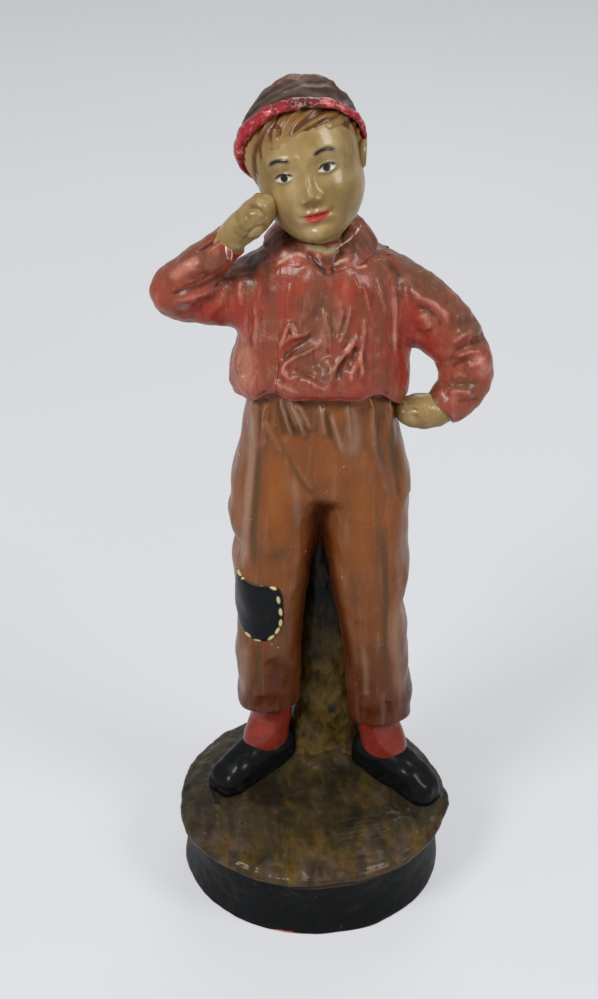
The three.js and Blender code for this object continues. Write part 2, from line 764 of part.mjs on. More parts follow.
function capCrown() {
  const dome = [
    { out: 0, share: 1, lean: 0 },
    { out: 0.25, share: 0.97, lean: 0.1 },
    { out: 0.5, share: 0.86, lean: 0.3 },
    { out: 0.74, share: 0.67, lean: 0.55 },
    { out: 0.9, share: 0.45, lean: 0.8 },
    { out: 1, share: 0.2, lean: 1 },
  ];
  return tilted(closedLoft(dome.map((d) => capRing(CAP_DEPTH * d.out, d.share, CAP_LEAN * d.lean, 24))));
}

// A rolled band carried round the crown's edge.
function capBand() {
  const corners = 7;
  const ring = capRing(0, 1.03, 0, 26);
  const sections = ring.map((edge) => {
    const out = edge.clone().sub(capMiddle).normalize();
    return Array.from({ length: corners }, (_, j) => {
      const angle = -(j / corners) * 2 * Math.PI;
      return edge
        .clone()
        .addScaledVector(out, BAND_HALF_THICKNESS * Math.cos(angle))
        .addScaledVector(capAxis, BAND_HALF_WIDTH * Math.sin(angle) - BAND_HALF_WIDTH);
    });
  });
  return tilted(new LoftGeometry([...sections, sections[0]]));
}

function leftEar() {
  const ear = new THREE.SphereGeometry(EAR_HEIGHT / 2, 12, 8);
  ear.scale(0.45, 0.62, 1);
  ear.rotateX(THREE.MathUtils.degToRad(-12));
  ear.translate(HEAD_HALF_WIDTH + 0.5, HEAD_BACK * 0.04, -HEAD_CHIN * 0.2);
  return tilted(ear);
}

// Assembly: each cast is trimmed by those already set, with the slip seam between them

const figure = new THREE.Group();
const setPieces = [];

function place(name, colour, roughness, solid, cutter) {
  const box = solid.boundingBox();
  let trimmed = solid;
  for (const other of setPieces) {
    const apart = [0, 1, 2].some((k) => other.box.min[k] > box.max[k] || other.box.max[k] < box.min[k]);
    if (!apart) trimmed = trimmed.subtract(other.cutter);
  }
  const cast = largest(trimmed);
  setPieces.push({ cutter, box: cutter.boundingBox() });
  const material = new THREE.MeshStandardMaterial({ color: colour, roughness, metalness: 0 });
  const mesh = new THREE.Mesh(geometryOf(cast), material);
  mesh.name = name;
  figure.add(mesh);
}

// A cast from its outer surface, less its hollows.
function cast(name, colour, roughness, outer, ...hollows) {
  const solid = hollows.reduce((whole, hollow) => whole.subtract(solidOf(hollow)), solidOf(outer));
  place(name, colour, roughness, solid, solidOf(swollen(outer, SEAM)));
}

// A thin layer of clay laid on a cast, with the outline of a cutter.
function sprig(name, colour, roughness, under, outline, thickness) {
  const layer = (edge) => solidOf(swollen(under, SEAM + thickness + edge)).intersect(solidOf(swollen(outline, edge)));
  place(name, colour, roughness, layer(0), layer(SEAM));
}

const PAINT = {
  black: 0x1d1e20,
  earth: 0x4a4127,
  red: 0x9c3b33,
  stocking: 0xa83a32,
  brown: 0x8a5336,
  skin: 0xb7a376,
  hair: 0x8c6b3a,
  cap: 0x5e4a42,
  band: 0xa52a3c,
};

cast("plinth_drum", PAINT.black, 0.5, plinthDrum(), drumHollow(), firingHole());
cast("ground_mound", PAINT.earth, 0.6, groundMound(), moundHollow());

const rightAnkle = [RIGHT_ANKLE_X, RIGHT_ANKLE_Y];
const leftAnkle = [LEFT_ANKLE_X, LEFT_ANKLE_Y];
cast("right_stocking", PAINT.stocking, 0.4, stocking(...rightAnkle, rightSole, rightHem));
cast("left_stocking", PAINT.stocking, 0.4, stocking(...leftAnkle, leftSole, leftHem));
cast("right_shoe", PAINT.black, 0.35, shoe(...rightAnkle, RIGHT_TOE_OUT));
cast("left_shoe", PAINT.black, 0.35, shoe(...leftAnkle, LEFT_TOE_OUT));

const rightLeg = trouserLeg(...rightAnkle, rightHem);
const leftLeg = trouserLeg(...leftAnkle, leftHem);
cast("trouser_seat", PAINT.brown, 0.45, trouserSeat(), seatHollow());
cast("right_trouser_leg", PAINT.brown, 0.45, rightLeg, legHollow(...rightAnkle, rightHem));
cast("left_trouser_leg", PAINT.brown, 0.45, leftLeg, legHollow(...leftAnkle, leftHem));
cast("tree_stump", PAINT.earth, 0.6, treeStump());
sprig("knee_patch", PAINT.black, 0.35, rightLeg, patchCutter(), PATCH_THICKNESS);

const headParts = [skull(), neck(NECK_RADIUS, SOCKET_DEPTH, 18), nose()];
const headHollows = [skullHollow(), neck(NECK_RADIUS - HEAD_WALL, 2 * SOCKET_DEPTH, 12)];
const union = (geometries) => geometries.map(solidOf).reduce((a, b) => a.add(b));
const headCutter = union(headParts.map((g) => swollen(g, SEAM)));
place("head", PAINT.skin, 0.35, union(headParts).subtract(union(headHollows)), headCutter);

const shirt = shirtBody();
const braceTop = (x) => THREE.MathUtils.lerp(x, SHIRT_X, 0.1);
const backX = (side) => SHIRT_X + side * BACK_BRACE_SPREAD;
const brace = (name, lowX, highX, front) =>
  sprig(name, PAINT.red, 0.4, shirt, braceCutter(lowX, highX, front), BRACE_THICKNESS);
cast("shirt_body", PAINT.red, 0.4, shirt, shirtHollow());
brace("right_front_brace", RIGHT_BRACE_X, braceTop(RIGHT_BRACE_X), true);
brace("left_front_brace", LEFT_BRACE_X, braceTop(LEFT_BRACE_X), true);
brace("right_back_brace", backX(-1), braceTop(RIGHT_BRACE_X), false);
brace("left_back_brace", backX(1), braceTop(LEFT_BRACE_X), false);
cast("right_collar_leaf", PAINT.red, 0.4, collarLeaf(-1));
cast("left_collar_leaf", PAINT.red, 0.4, collarLeaf(1));

cast("right_hand", PAINT.skin, 0.35, rightHand());
cast("right_lower_sleeve", PAINT.red, 0.4, rightLowerSleeve());
cast("right_upper_sleeve", PAINT.red, 0.4, rightUpperSleeve());
cast("left_hand", PAINT.skin, 0.35, leftHand());
cast("left_upper_sleeve", PAINT.red, 0.4, leftUpperSleeve());
cast("left_lower_sleeve", PAINT.red, 0.4, leftLowerSleeve());

const hairSkin = (by) => solidOf(swollen(skull(), SEAM + HAIR_THICKNESS + by));
const hairCutter = hairSkin(SEAM).intersect(solidOf(swollen(hairZone(), SEAM)));
place("hair", PAINT.hair, 0.45, hairSkin(0).intersect(solidOf(hairZone())), hairCutter);
cast("cap_crown", PAINT.cap, 0.5, capCrown());
cast("cap_band", PAINT.band, 0.45, capBand());
cast("left_ear", PAINT.skin, 0.35, leftEar());

export default figure;
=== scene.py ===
"""Painted terracotta figure: sculpted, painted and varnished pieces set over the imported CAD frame.

Shapes are worked out in millimetres as whole numpy arrays and put into the meshes in metres.
"""

import math

import bpy
import numpy as np
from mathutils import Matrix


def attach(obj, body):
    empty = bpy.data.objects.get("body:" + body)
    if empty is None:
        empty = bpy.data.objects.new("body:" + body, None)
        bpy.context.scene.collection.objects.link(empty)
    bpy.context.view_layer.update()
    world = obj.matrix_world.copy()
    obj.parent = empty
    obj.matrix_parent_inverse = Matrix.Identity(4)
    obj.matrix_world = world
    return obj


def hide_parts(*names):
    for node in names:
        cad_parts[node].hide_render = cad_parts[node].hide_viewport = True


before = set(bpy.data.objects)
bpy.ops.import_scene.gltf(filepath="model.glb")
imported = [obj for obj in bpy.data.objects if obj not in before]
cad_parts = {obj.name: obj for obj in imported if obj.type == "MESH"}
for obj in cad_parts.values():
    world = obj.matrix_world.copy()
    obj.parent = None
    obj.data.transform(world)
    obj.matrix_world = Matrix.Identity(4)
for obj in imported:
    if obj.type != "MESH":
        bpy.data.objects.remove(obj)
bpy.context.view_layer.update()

bl_info = {
    "name": "Painted Terracotta Figure",
    "version": (1, 0, 0),
    "blender": (4, 5, 0),
    "location": "View3D > Sidebar > Figure",
    "description": "Builds the painted pieces of a terracotta figure over its CAD frame",
    "category": "Object",
}

TAU = 2 * math.pi
MM = 0.001

# Modelled folds: the share of a fold's height in its skirt, and the skirt's width over the crest's
FOLD_SKIRT = 0.42
SKIRT_WIDTH = 2.3

# Paint on the folds: strength on crests (rubbing and painted highlight) and in creases (painted shade),
# a crease's painted width, and what worn ridges keep
CREST_PAINT = 0.42
CREASE_PAINT = 0.7
CREASE_SHARE = 0.9
RIDGE_SHARE = 0.7

# Power of cosine and sine in level ovals: 1 gives an ellipse, less is squarer
SQUARENESS = 0.9
HEAD_SQUARENESS = 0.95

# Soft joints between pieces: how often and by what share a surface steps out towards the joint
JOIN_ROUNDS = 5
JOIN_STEP = 0.8

# Camera, which is also the eye of the front sheet on which folds are drawn
SHEET_WIDTH = 598
SHEET_HEIGHT = 999
EYE = np.array((-7.3, -800.0, 689.0))
EYE_PITCH = math.radians(29.9)
EYE_FOCUS = 1817.0

# Sizes of the figure in millimetres, from the floor upwards
DRUM_RADIUS = 71.0
DRUM_TOP = 35.0
DRUM_WALL = 8.0
RIM_RADIUS = 74.5
LIP_TOP = 41.3
MOUND_RISE = 12.0
MOUND_FALL = 2.2
RIGHT_SHIN = 44.5
LEFT_SHIN = 40.0
LEG_LONG = 128.5
SEAT_HIGH = 79.0
SHIRT_OVERLAP = 21.0
SHIRT_LONG = 86.0
SHOULDER_DROP = 27.0
HEAD_RISE = 39.0
HIP_X = 3.7
HIP_Y = 12.0
RIGHT_ANKLE = np.array((-22.6, 15.0))
LEFT_ANKLE = np.array((36.2, 11.0))


def ground(x, y):
    """Height of the earth: it falls from the crest to the lip by a power of the radius."""
    share = np.minimum(1, np.hypot(x, y) / RIM_RADIUS)
    return LIP_TOP + MOUND_RISE * (1 - share**MOUND_FALL)


RIGHT_SOLE = ground(*RIGHT_ANKLE)
LEFT_SOLE = ground(*LEFT_ANKLE)
RIGHT_HEM = RIGHT_SOLE + RIGHT_SHIN
LEFT_HEM = LEFT_SOLE + LEFT_SHIN
CROTCH = RIGHT_HEM + LEG_LONG
WAIST = CROTCH + SEAT_HIGH
SHIRT_HEM = WAIST - SHIRT_OVERLAP
NECK = SHIRT_HEM + SHIRT_LONG
SHOULDER = NECK - SHOULDER_DROP
STUMP_MIDDLE = np.array((8.0, 29.0))
HEAD_MIDDLE = np.array((-4.5, 9.0, NECK + HEAD_RISE))
HEAD_ROLL = math.radians(-15)
HEAD_PITCH = math.radians(-8)
CAP_TILT = math.radians(45)


# Shapes as arrays


def unit(vectors):
    """Each vector divided by its own length."""
    return vectors / np.maximum(np.linalg.norm(vectors, axis=-1, keepdims=True), 1e-9)


def rise_between(values, low, high):
    """0 below low, 1 above high, and an S-shaped rise between them."""
    share = np.clip((values - low) / (high - low), 0, 1)
    return share * share * (3 - 2 * share)


def signed_power(values, exponent):
    """The size of each value raised to a power, with its sign kept."""
    return np.sign(values) * np.abs(values) ** exponent


def bell(values, width):
    """1 at zero, falling on both sides like a bell of a width."""
    return np.exp(-((values / width) ** 2))


def points_of(x, y, z):
    """Points from three arrays of coordinates, stretched to one shape."""
    return np.stack(np.broadcast_arrays(x, y, z), -1)


def swung(a, b, angle):
    """Two coordinates turned in their plane by an angle, from the first towards the second."""
    return a * math.cos(angle) - b * math.sin(angle), a * math.sin(angle) + b * math.cos(angle)


def rows_at(rows, z, *columns):
    """Columns of a stack of level ovals, read at heights between its rows."""
    return [np.interp(z, rows[:, 2], rows[:, column]) for column in columns]


def oval_depth(share):
    """Depth of a level oval, as a share of its full depth, at a share of its half width."""
    return (1 - share ** (2 / SQUARENESS)) ** (SQUARENESS / 2)


def curve(stations, count):
    """Smooth cubic through the stations, column by column, read at even steps.

    Each span's end slopes are half the difference of the stations on both sides.
    """
    points = np.asarray(stations, float)
    spans = len(points) - 1
    line = np.vstack([2 * points[0] - points[1], points, 2 * points[-1] - points[-2]])
    step = np.linspace(0, spans, count)
    span = np.minimum(step.astype(int), spans - 1)
    t = (step - span)[:, None]
    a, b, c, d = (line[span + k] for k in range(4))
    cubic = 3 * b - a - 3 * c + d
    return b + 0.5 * t * (c - a + t * (2 * a - 5 * b + 4 * c - d + t * cubic))


def turn(count, dense_at=None, density=0.0):
    """Even angles once round, drawn together at one angle if a density is given."""
    step = np.linspace(0, TAU, count, endpoint=False)
    if dense_at is None:
        return step
    return dense_at + step - density * np.sin(step)


def ovals(rows, angle, squareness=SQUARENESS):
    """Level ovals: rows hold middle x, y, z, half width, front depth and back depth.

    A point is the middle plus half width times cos and depth times sin, each to a power below 1.
    """
    along = signed_power(np.cos(angle), squareness)
    across = signed_power(np.sin(angle), squareness)
    x, y, z, half, front, back = rows.T[..., None]
    depth = np.where(across < 0, front, back)
    return points_of(x + half * along, y + depth * across, z)


def tube(path, rows, around, side=(0, 1, 0)):
    """A round profile carried along a path, whose stops hold x, y, z, half width and half depth."""
    line = curve(path, rows)
    forward = unit(np.gradient(line[:, :3], axis=0))
    wide = unit(np.cross(side, forward))
    deep = np.cross(forward, wide)
    angle = turn(around)
    reach_wide = line[:, 3:4] * np.cos(angle)
    reach_deep = line[:, 4:5] * np.sin(angle)
    offset = wide[:, None] * reach_wide[..., None] + deep[:, None] * reach_deep[..., None]
    return line[:, None, :3] + offset


def normals_of(grid, looped=False):
    """Unit normals of a grid: the step around crossed with the step along the rows."""
    around = np.roll(grid, -1, 1) - np.roll(grid, 1, 1)
    along = np.roll(grid, -1, 0) - np.roll(grid, 1, 0) if looped else np.gradient(grid, axis=0)
    return unit(np.cross(around, along))


def soften(values, passes, looped=False):
    """Each value drawn to the mean of itself and its four neighbours on the grid, some times over."""
    for _ in range(passes):
        before = np.roll(values, 1, 0)
        after = np.roll(values, -1, 0)
        if not looped:
            before[0] = values[0]
            after[-1] = values[-1]
        values = 0.2 * (values + before + after + np.roll(values, 1, 1) + np.roll(values, -1, 1))
    return values


def push(grid, height, looped=False):
    """The grid moved along its normals by a height at each point."""
    return grid + normals_of(grid, looped) * height[..., None]


def uneven(points, size, seed, waves=28):
    """A smooth random field: plane waves of about one length in seeded directions, summed."""
    draw = np.random.default_rng(seed)
    direction = unit(draw.normal(size=(waves, 3)))
    length = size * draw.uniform(0.7, 1.4, (waves, 1))
    phase = draw.uniform(0, TAU, waves)
    return np.cos(points @ (direction / length * TAU).T + phase).sum(-1) * math.sqrt(2 / waves)


def on_sheet(points):
    """Places of points on the front sheet, the picture plane of the camera."""
    away = points - EYE
    depth = away[..., 1] * math.cos(EYE_PITCH) - away[..., 2] * math.sin(EYE_PITCH)
    rise = away[..., 1] * math.sin(EYE_PITCH) + away[..., 2] * math.cos(EYE_PITCH)
    across = SHEET_WIDTH / 2 + EYE_FOCUS * away[..., 0] / depth
    down = SHEET_HEIGHT / 2 - EYE_FOCUS * rise / depth
    return np.stack([across, down], -1)


def lines_height(places, lines, widen=1.0, skirt=0.0):
    """Height of drawn lines: (width, height, points) each.

    A line is smoothed, and lifts or sinks the surface by a bell of the distance to it,
    which fades towards both of its ends. A share of the height goes into a wider skirt.
    """
    total = np.zeros(places.shape[:-1])
    for narrow, height, points in lines:
        width = narrow * widen
        path = curve(points, 8 * len(points))
        margin = (3 + 5 * skirt) * width
        near = ((places > path.min(0) - margin) & (places < path.max(0) + margin)).all(-1)
        spot = places[near]
        if not len(spot):
            continue
        step = np.diff(path, axis=0)
        away = spot[:, None] - path[:-1]
        share = np.clip((away * step).sum(-1) / (step**2).sum(-1), 0, 1)
        gap = np.linalg.norm(away - share[..., None] * step, axis=-1)
        nearest = gap.argmin(1)[:, None]
        along = (nearest + np.take_along_axis(share, nearest, 1))[:, 0] / len(step)
        fade = rise_between(np.minimum(along, 1 - along), -0.04, 0.25)
        distance = gap.min(1) / width
        profile = (1 - skirt) * bell(distance, 1.0) + skirt * bell(distance, SKIRT_WIDTH)
        total[near] += height * fade * profile
    return total


def facing_eye(grid, normal=None):
    """How squarely each point looks at the eye: its normal times the direction to the eye."""
    out = normals_of(grid) if normal is None else normal
    return (out * unit(EYE - grid)).sum(-1)


def front_folds(grid, lines, normal=None):
    """Height of lines drawn on the front sheet, on the faces that look towards it."""
    drawn = lines_height(on_sheet(grid), lines, sizes().fold_width, FOLD_SKIRT)
    return drawn * rise_between(facing_eye(grid, normal), 0.02, 0.3)


def back_folds(grid, lines, normal=None):
    """Height of lines drawn on the back in x and z, on the faces that look backwards."""
    out = normals_of(grid) if normal is None else normal
    facing = out[..., 1]
    return lines_height(grid[..., ::2], lines, 1.0, FOLD_SKIRT) * rise_between(facing, 0.05, 0.4)


def brush_marks(grid, strokes):
    """Mask of paint strokes drawn on the front sheet, on the faces that look towards it."""
    drawn = np.clip(lines_height(on_sheet(grid), strokes), 0, 1)
    return drawn * rise_between(facing_eye(grid), -0.05, 0.2)


def marked_folds(grid, masks, lines):
    """Masks with pale paint along the drawn crests and dark paint along the drawn creases.

    The pale crests are rubbing and painted highlight; the dark creases are painted shade.
    """
    crests = [(width, CREST_PAINT * height, path) for width, height, path in lines if height > 0]
    creases = [
        (CREASE_SHARE * width, -CREASE_PAINT * height, path) for width, height, path in lines if height < 0
    ]
    masks["ridge"] = np.maximum(RIDGE_SHARE * masks["ridge"], brush_marks(grid, crests))
    masks["hollow"] = np.maximum(masks["hollow"], brush_marks(grid, creases))
    return masks


def bumps(points, spots):
    """Bells of height: each has a middle, a reach along each axis and a height."""
    total = np.zeros(points.shape[:-1])
    for middle, reach, height in spots:
        away = (points - np.asarray(middle)) / np.asarray(reach)
        total += height * np.exp(-(away**2).sum(-1))
    return total


def oval_field(rows, squareness=SQUARENESS):
    """Signed distance, nearly, to a stack of level ovals: the oval's share less 1, times its reach."""
    power = 2 / squareness

    def field(points):
        """The distance at points."""
        x, y, z = np.moveaxis(points, -1, 0)
        middle_x, middle_y, half, front, back = rows_at(rows, z, 0, 1, 3, 4, 5)
        depth = np.where(y < middle_y, front, back)
        wide = np.abs((x - middle_x) / half) ** power
        deep = np.abs((y - middle_y) / depth) ** power
        side = ((wide + deep) ** (1 / power) - 1) * np.minimum(half, depth)
        return np.maximum(side, np.maximum(rows[0, 2] - z, z - rows[-1, 2]))

    return field


def tube_field(path, balls=70):
    """Signed distance to a chain of balls along a tube's path."""
    line = curve(path, balls)

    def field(points):
        """The distance at points."""
        nearest = np.full(points.shape[:-1], np.inf)
        for ball in line:
            nearest = np.minimum(nearest, np.linalg.norm(points - ball[:3], axis=-1) - ball[3])
        return nearest

    return field


def soft_least(a, b, reach):
    """The lesser of two distances, rounded where they are within a reach of each other."""
    close = np.maximum(reach - np.abs(a - b), 0) / reach
    return np.minimum(a, b) - close * close * reach / 4


def joined(grid, neighbours, limit=5.0, normal=None):
    """A grid drawn outwards along its normals until it lies on the rounded union with its neighbours.

    Each neighbour is a field and the reach of the rounding.
    """
    if normal is None:
        normal = normals_of(grid)
    out = np.zeros(grid.shape[:-1])
    for _ in range(JOIN_ROUNDS):
        level = out
        for field, reach in neighbours:
            level = soft_least(level, field(grid + normal * out[..., None]), reach)
        out = np.clip(out - JOIN_STEP * level, 0, limit)
    return grid + normal * soften(out, 2)[..., None]


def closeness(grid, fields, reach=5.0):
    """1 where a neighbour touches, falling to 0 at a reach from it."""
    total = np.zeros(grid.shape[:-1])
    for field in fields:
        total = np.maximum(total, 1 - rise_between(field(grid), 0, reach))
    return total


def wear_masks(grid, looped=False, passes=14, depth=0.45):
    """Ridge and hollow masks: how far the form stands out of its own softened form, or lies below it."""
    normal = normals_of(grid, looped)
    level = ((grid - soften(grid, passes, looped)) * normal).sum(-1)
    level = level - soften(level, 5 * passes, looped)
    return {"ridge": np.clip(level / depth, 0, 1), "hollow": np.clip(-level / depth, 0, 1)}


# Meshes


def grid_faces(rows, around, looped, first):
    """Corner numbers of a grid's quads, and of the fans that close its two end rows."""
    index = np.arange(rows * around).reshape(rows, around) + first
    below = index if looped else index[:-1]
    above = np.roll(index, -1, 0) if looped else index[1:]
    quads = np.stack([below, np.roll(below, -1, 1), np.roll(above, -1, 1), above], -1).reshape(-1, 4)
    if looped:
        return quads, np.zeros((0, 3), int)
    pole = first + rows * around
    start, end = index[0], index[-1]
    start_fan = np.stack([np.full(around, pole), np.roll(start, -1), start], -1)
    end_fan = np.stack([np.full(around, pole + 1), end, np.roll(end, -1)], -1)
    return quads, np.vstack([start_fan, end_fan])


def with_poles(values, looped):
    """A grid's values in one list, with the means of its two end rows added where it is open."""
    flat = values.reshape(-1, *values.shape[2:])
    if looped:
        return flat
    return np.concatenate([flat, values[:1].mean(1), values[-1:].mean(1)])


def add_piece(name, parts, nodes, material):
    """One object of closed grids, in place in its mesh, riding on the root body.

    A part is a grid in millimetres, its masks, and whether its rows close on themselves.
    """
    points, quads, fans = [], [], []
    mask_names = sorted({key for _, masks, _ in parts for key in masks})
    mask_values = {key: [] for key in mask_names}
    first = 0
    for grid, masks, looped in parts:
        flat = with_poles(grid, looped)
        part_quads, part_fans = grid_faces(*grid.shape[:2], looped, first)
        points.append(flat)
        quads.append(part_quads)
        fans.append(part_fans)
        for key in mask_names:
            values = masks.get(key)
            mask_values[key].append(np.zeros(len(flat)) if values is None else with_poles(values, looped))
        first += len(flat)
    points = np.vstack(points)
    quads = np.vstack(quads)
    fans = np.vstack(fans)
    corners = np.concatenate([quads.ravel(), fans.ravel()])
    starts = np.concatenate([np.arange(len(quads)) * 4, len(quads) * 4 + np.arange(len(fans)) * 3])
    mesh = bpy.data.meshes.new(name)
    mesh.vertices.add(len(points))
    mesh.vertices.foreach_set("co", (points * MM).astype(np.float32).ravel())
    mesh.loops.add(len(corners))
    mesh.loops.foreach_set("vertex_index", corners.astype(np.int32))
    mesh.polygons.add(len(starts))
    mesh.polygons.foreach_set("loop_start", starts.astype(np.int32))
    mesh.polygons.foreach_set("use_smooth", np.ones(len(starts), bool))
    mesh.update(calc_edges=True)
    for key in mask_names:
        layer = mesh.attributes.new(key, "FLOAT", "POINT")
        layer.data.foreach_set("value", np.concatenate(mask_values[key]).astype(np.float32))
    mesh.materials.append(material)
    piece = bpy.data.objects.new(name, mesh)
    bpy.context.scene.collection.objects.link(piece)
    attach(piece, "root")
    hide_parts(*nodes)
    return piece


# Shader maths

EVEN = (1, 1, 1)
HANGING = (1, 1, 0.4)


class Wire:
    """One socket of a material's nodes. Arithmetic on it adds Math nodes."""

    def __init__(self, nodes, socket):
        self.nodes = nodes
        self.socket = socket

    def __add__(self, other):
        return self.nodes.math("ADD", self, other)

    def __sub__(self, other):
        return self.nodes.math("SUBTRACT", self, other)

    def __rsub__(self, other):
        return self.nodes.math("SUBTRACT", other, self)

    def __mul__(self, other):
        return self.nodes.math("MULTIPLY", self, other)

    __radd__ = __add__
    __rmul__ = __mul__


class Nodes:
    """The emptied node tree of a material or world, with short ways to add to it."""

    def __init__(self, holder):
        holder.use_nodes = True
        self.tree = holder.node_tree
        self.tree.nodes.clear()

    def node(self, kind, settings=None, inputs=None):
        """A node of a kind, with its settings made first and then its sockets filled or linked."""
        made = self.tree.nodes.new(kind)
        for key, value in (settings or {}).items():
            setattr(made, key, value)
        for key, value in (inputs or {}).items():
            if isinstance(value, Wire):
                self.tree.links.new(value.socket, made.inputs[key])
            else:
                made.inputs[key].default_value = value
        return made

    def wire(self, kind, settings=None, inputs=None, output=0):
        """One output of a new node."""
        return Wire(self, self.node(kind, settings, inputs).outputs[output])

    def math(self, operation, a, b):
        """A Math node of two values."""
        return self.wire("ShaderNodeMath", {"operation": operation}, {0: a, 1: b})


class Bench(Nodes):
    """One material's nodes, with the colour, roughness and relief that its paint has so far."""

    def __init__(self, name):
        self.material = bpy.data.materials.new(name)
        super().__init__(self.material)
        self.place = self.wire("ShaderNodeTexCoord", output="Object")
        normal = self.wire("ShaderNodeNewGeometry", output="Normal")
        self.up = self.wire("ShaderNodeSeparateXYZ", inputs={0: normal}, output="Z")
        self.height = self.wire("ShaderNodeSeparateXYZ", inputs={0: self.place}, output="Z")

    def step(self, value, low, high):
        """0 below low, 1 above high, smooth between."""
        settings = {"interpolation_type": "SMOOTHSTEP"}
        return self.wire("ShaderNodeMapRange", settings, {"Value": value, "From Min": low, "From Max": high})

    def noise(self, size, stretch=EVEN, detail=4.0, warp=0.0):
        """Noise with features of a size in millimetres, drawn out along an axis by a stretch below 1."""
        place = self.place
        if stretch != EVEN:
            place = self.wire("ShaderNodeMapping", None, {"Vector": place, "Scale": stretch})
        inputs = {"Vector": place, "Scale": 1 / (size * MM), "Detail": detail, "Distortion": warp}
        return self.wire("ShaderNodeTexNoise", None, inputs)

    def mask(self, name):
        """A mask of the mesh."""
        return self.wire("ShaderNodeAttribute", {"attribute_name": name}, output="Fac")

    def over(self, share, paint):
        """A paint over the colour so far, by a share."""
        inputs = {0: share, 6: self.colour, 7: colour_of(paint)}
        self.colour = self.wire("ShaderNodeMix", {"data_type": "RGBA"}, inputs, output=2)

    def aged(self, main, second, film, shares, streak=EVEN, worn="worn", shade="grime_and_shade"):
        """Brushed paint: two clouded colours, an old film on what looks up, pale ridges and dark hollows.

        The pale ridges are rubbed paint, and painted highlight along drawn crests.
        The dark hollows are soiling and painted shade.
        Shares are those of the film, the rubbed ridges and the dark hollows.
        """
        film_share, worn_share, shade_share = shares
        cloud = self.noise(24, streak)
        brushed = self.noise(5, streak, warp=0.4)
        fine = self.noise(1.4)
        blotch = self.noise(11, streak, warp=0.6)
        ridge = self.mask("ridge") * sizes().ridge_wear_and_highlight
        hollow = self.mask("hollow") * sizes().hollow_dirt_and_shade
        self.colour = colour_of(main)
        self.over(self.step(cloud + brushed * 0.6, 0.55, 1.15) * 0.75, second)
        self.over(self.step(self.up * 0.55 + blotch + brushed * 0.3, 0.62, 1.15) * film_share, film)
        # Pale ridges: rubbed paint, and painted highlight along drawn crests
        self.over(self.step(ridge + fine * 0.9 + blotch * 0.9, 1.05, 1.8) * worn_share, worn)
        # Dark hollows: soiling together with painted shade
        sunk = self.step(hollow, 0.05, 0.9) * (0.75 + brushed * 0.5) * shade_share
        self.over(sunk, shade)
        self.roughness = 0.2 + brushed * 0.24 + sunk * 0.2
        self.relief = fine * 0.6 + brushed

    def brushed(self, mask, paint, share, size, streak=EVEN):
        """A paint where a mask is high, with a ragged brushed edge."""
        ragged = self.mask(mask) + self.noise(size, streak, warp=0.5) * 0.6
        self.over(self.step(ragged, 0.3, 1.3) * share, paint)

    def dabbed(self, paint, share, size, span, streak=EVEN, warp=0.0, mask=None, pull=0.0):
        """A paint where noise passes a span of values, helped on by the pull of a mask."""
        cloud = self.noise(size, streak, warp=warp)
        if mask:
            cloud = cloud + self.mask(mask) * pull
        self.over(self.step(cloud, *span) * share, paint)

    def done(self, depth, coat=0.2, coat_roughness=0.15, shine=0.08):
        """Links the paint to a shader, with its relief as bump of a depth in millimetres."""
        height = {"Height": self.relief, "Distance": depth * MM, "Strength": 1.0}
        bump = self.wire("ShaderNodeBump", None, height)
        inputs = {"Base Color": self.colour, "Roughness": self.roughness, "Normal": bump}
        inputs.update({"Coat Weight": coat, "Coat Roughness": coat_roughness, "Specular IOR Level": shine})
        shader = self.wire("ShaderNodeBsdfPrincipled", None, inputs)
        self.node("ShaderNodeOutputMaterial", None, {"Surface": shader})
        return self.material


def tint(red, green, blue):
    """A display colour of 0 to 255 as linear light."""
    share = np.array((red, green, blue)) / 255
    linear = np.where(share <= 0.04045, share / 12.92, ((share + 0.055) / 1.055) ** 2.4)
    return tuple(float(x) for x in linear)


def swatch(name, description, *shown):
    """A colour property whose default is a display colour of 0 to 255."""
    return bpy.props.FloatVectorProperty(
        name=name, description=description, subtype="COLOR", min=0.0, max=1.0, default=tint(*shown)
    )


def amount(name, description, default):
    """A plain factor property."""
    return bpy.props.FloatProperty(name=name, description=description, default=default, min=0.0, max=3.0)


def length(name, description, default):
    """A length property in metres."""
    return bpy.props.FloatProperty(
        name=name, description=description, default=default, min=0.0, subtype="DISTANCE", unit="LENGTH"
    )


class FigureSizes(bpy.types.PropertyGroup):
    """Sizes and amounts of relief."""

    fold_depth: amount("Fold depth", "Depth of the modelled folds", 1.25)
    fold_width: amount("Fold width", "Width of the modelled folds", 1.4)
    # Pale on ridges: rubbing, and painted highlight along drawn crests
    ridge_wear_and_highlight: amount("Wear", "How far the ridges are rubbed pale", 1.0)
    # Dark in hollows: soiling together with painted shade
    hollow_dirt_and_shade: amount("Dirt", "How dark the hollows are", 1.0)
    brace_width: length("Brace width", "Width of a brace", 6.8 * MM)
    brace_thickness: length("Brace thickness", "Thickness of a brace over the shirt", 0.6 * MM)
    patch_width: length("Patch width", "Width of the knee patch", 25 * MM)
    patch_height: length("Patch height", "Height of the knee patch", 40 * MM)
    patch_thickness: length("Patch thickness", "Thickness of the knee patch", 1.1 * MM)
    lock_depth: length("Lock depth", "Depth of the grooves between locks of hair", 0.8 * MM)
    band_width: length("Band width", "Half width of the cap's band", 3.0 * MM)
    floor_size: length("Floor size", "Half width of the floor", 6.0)


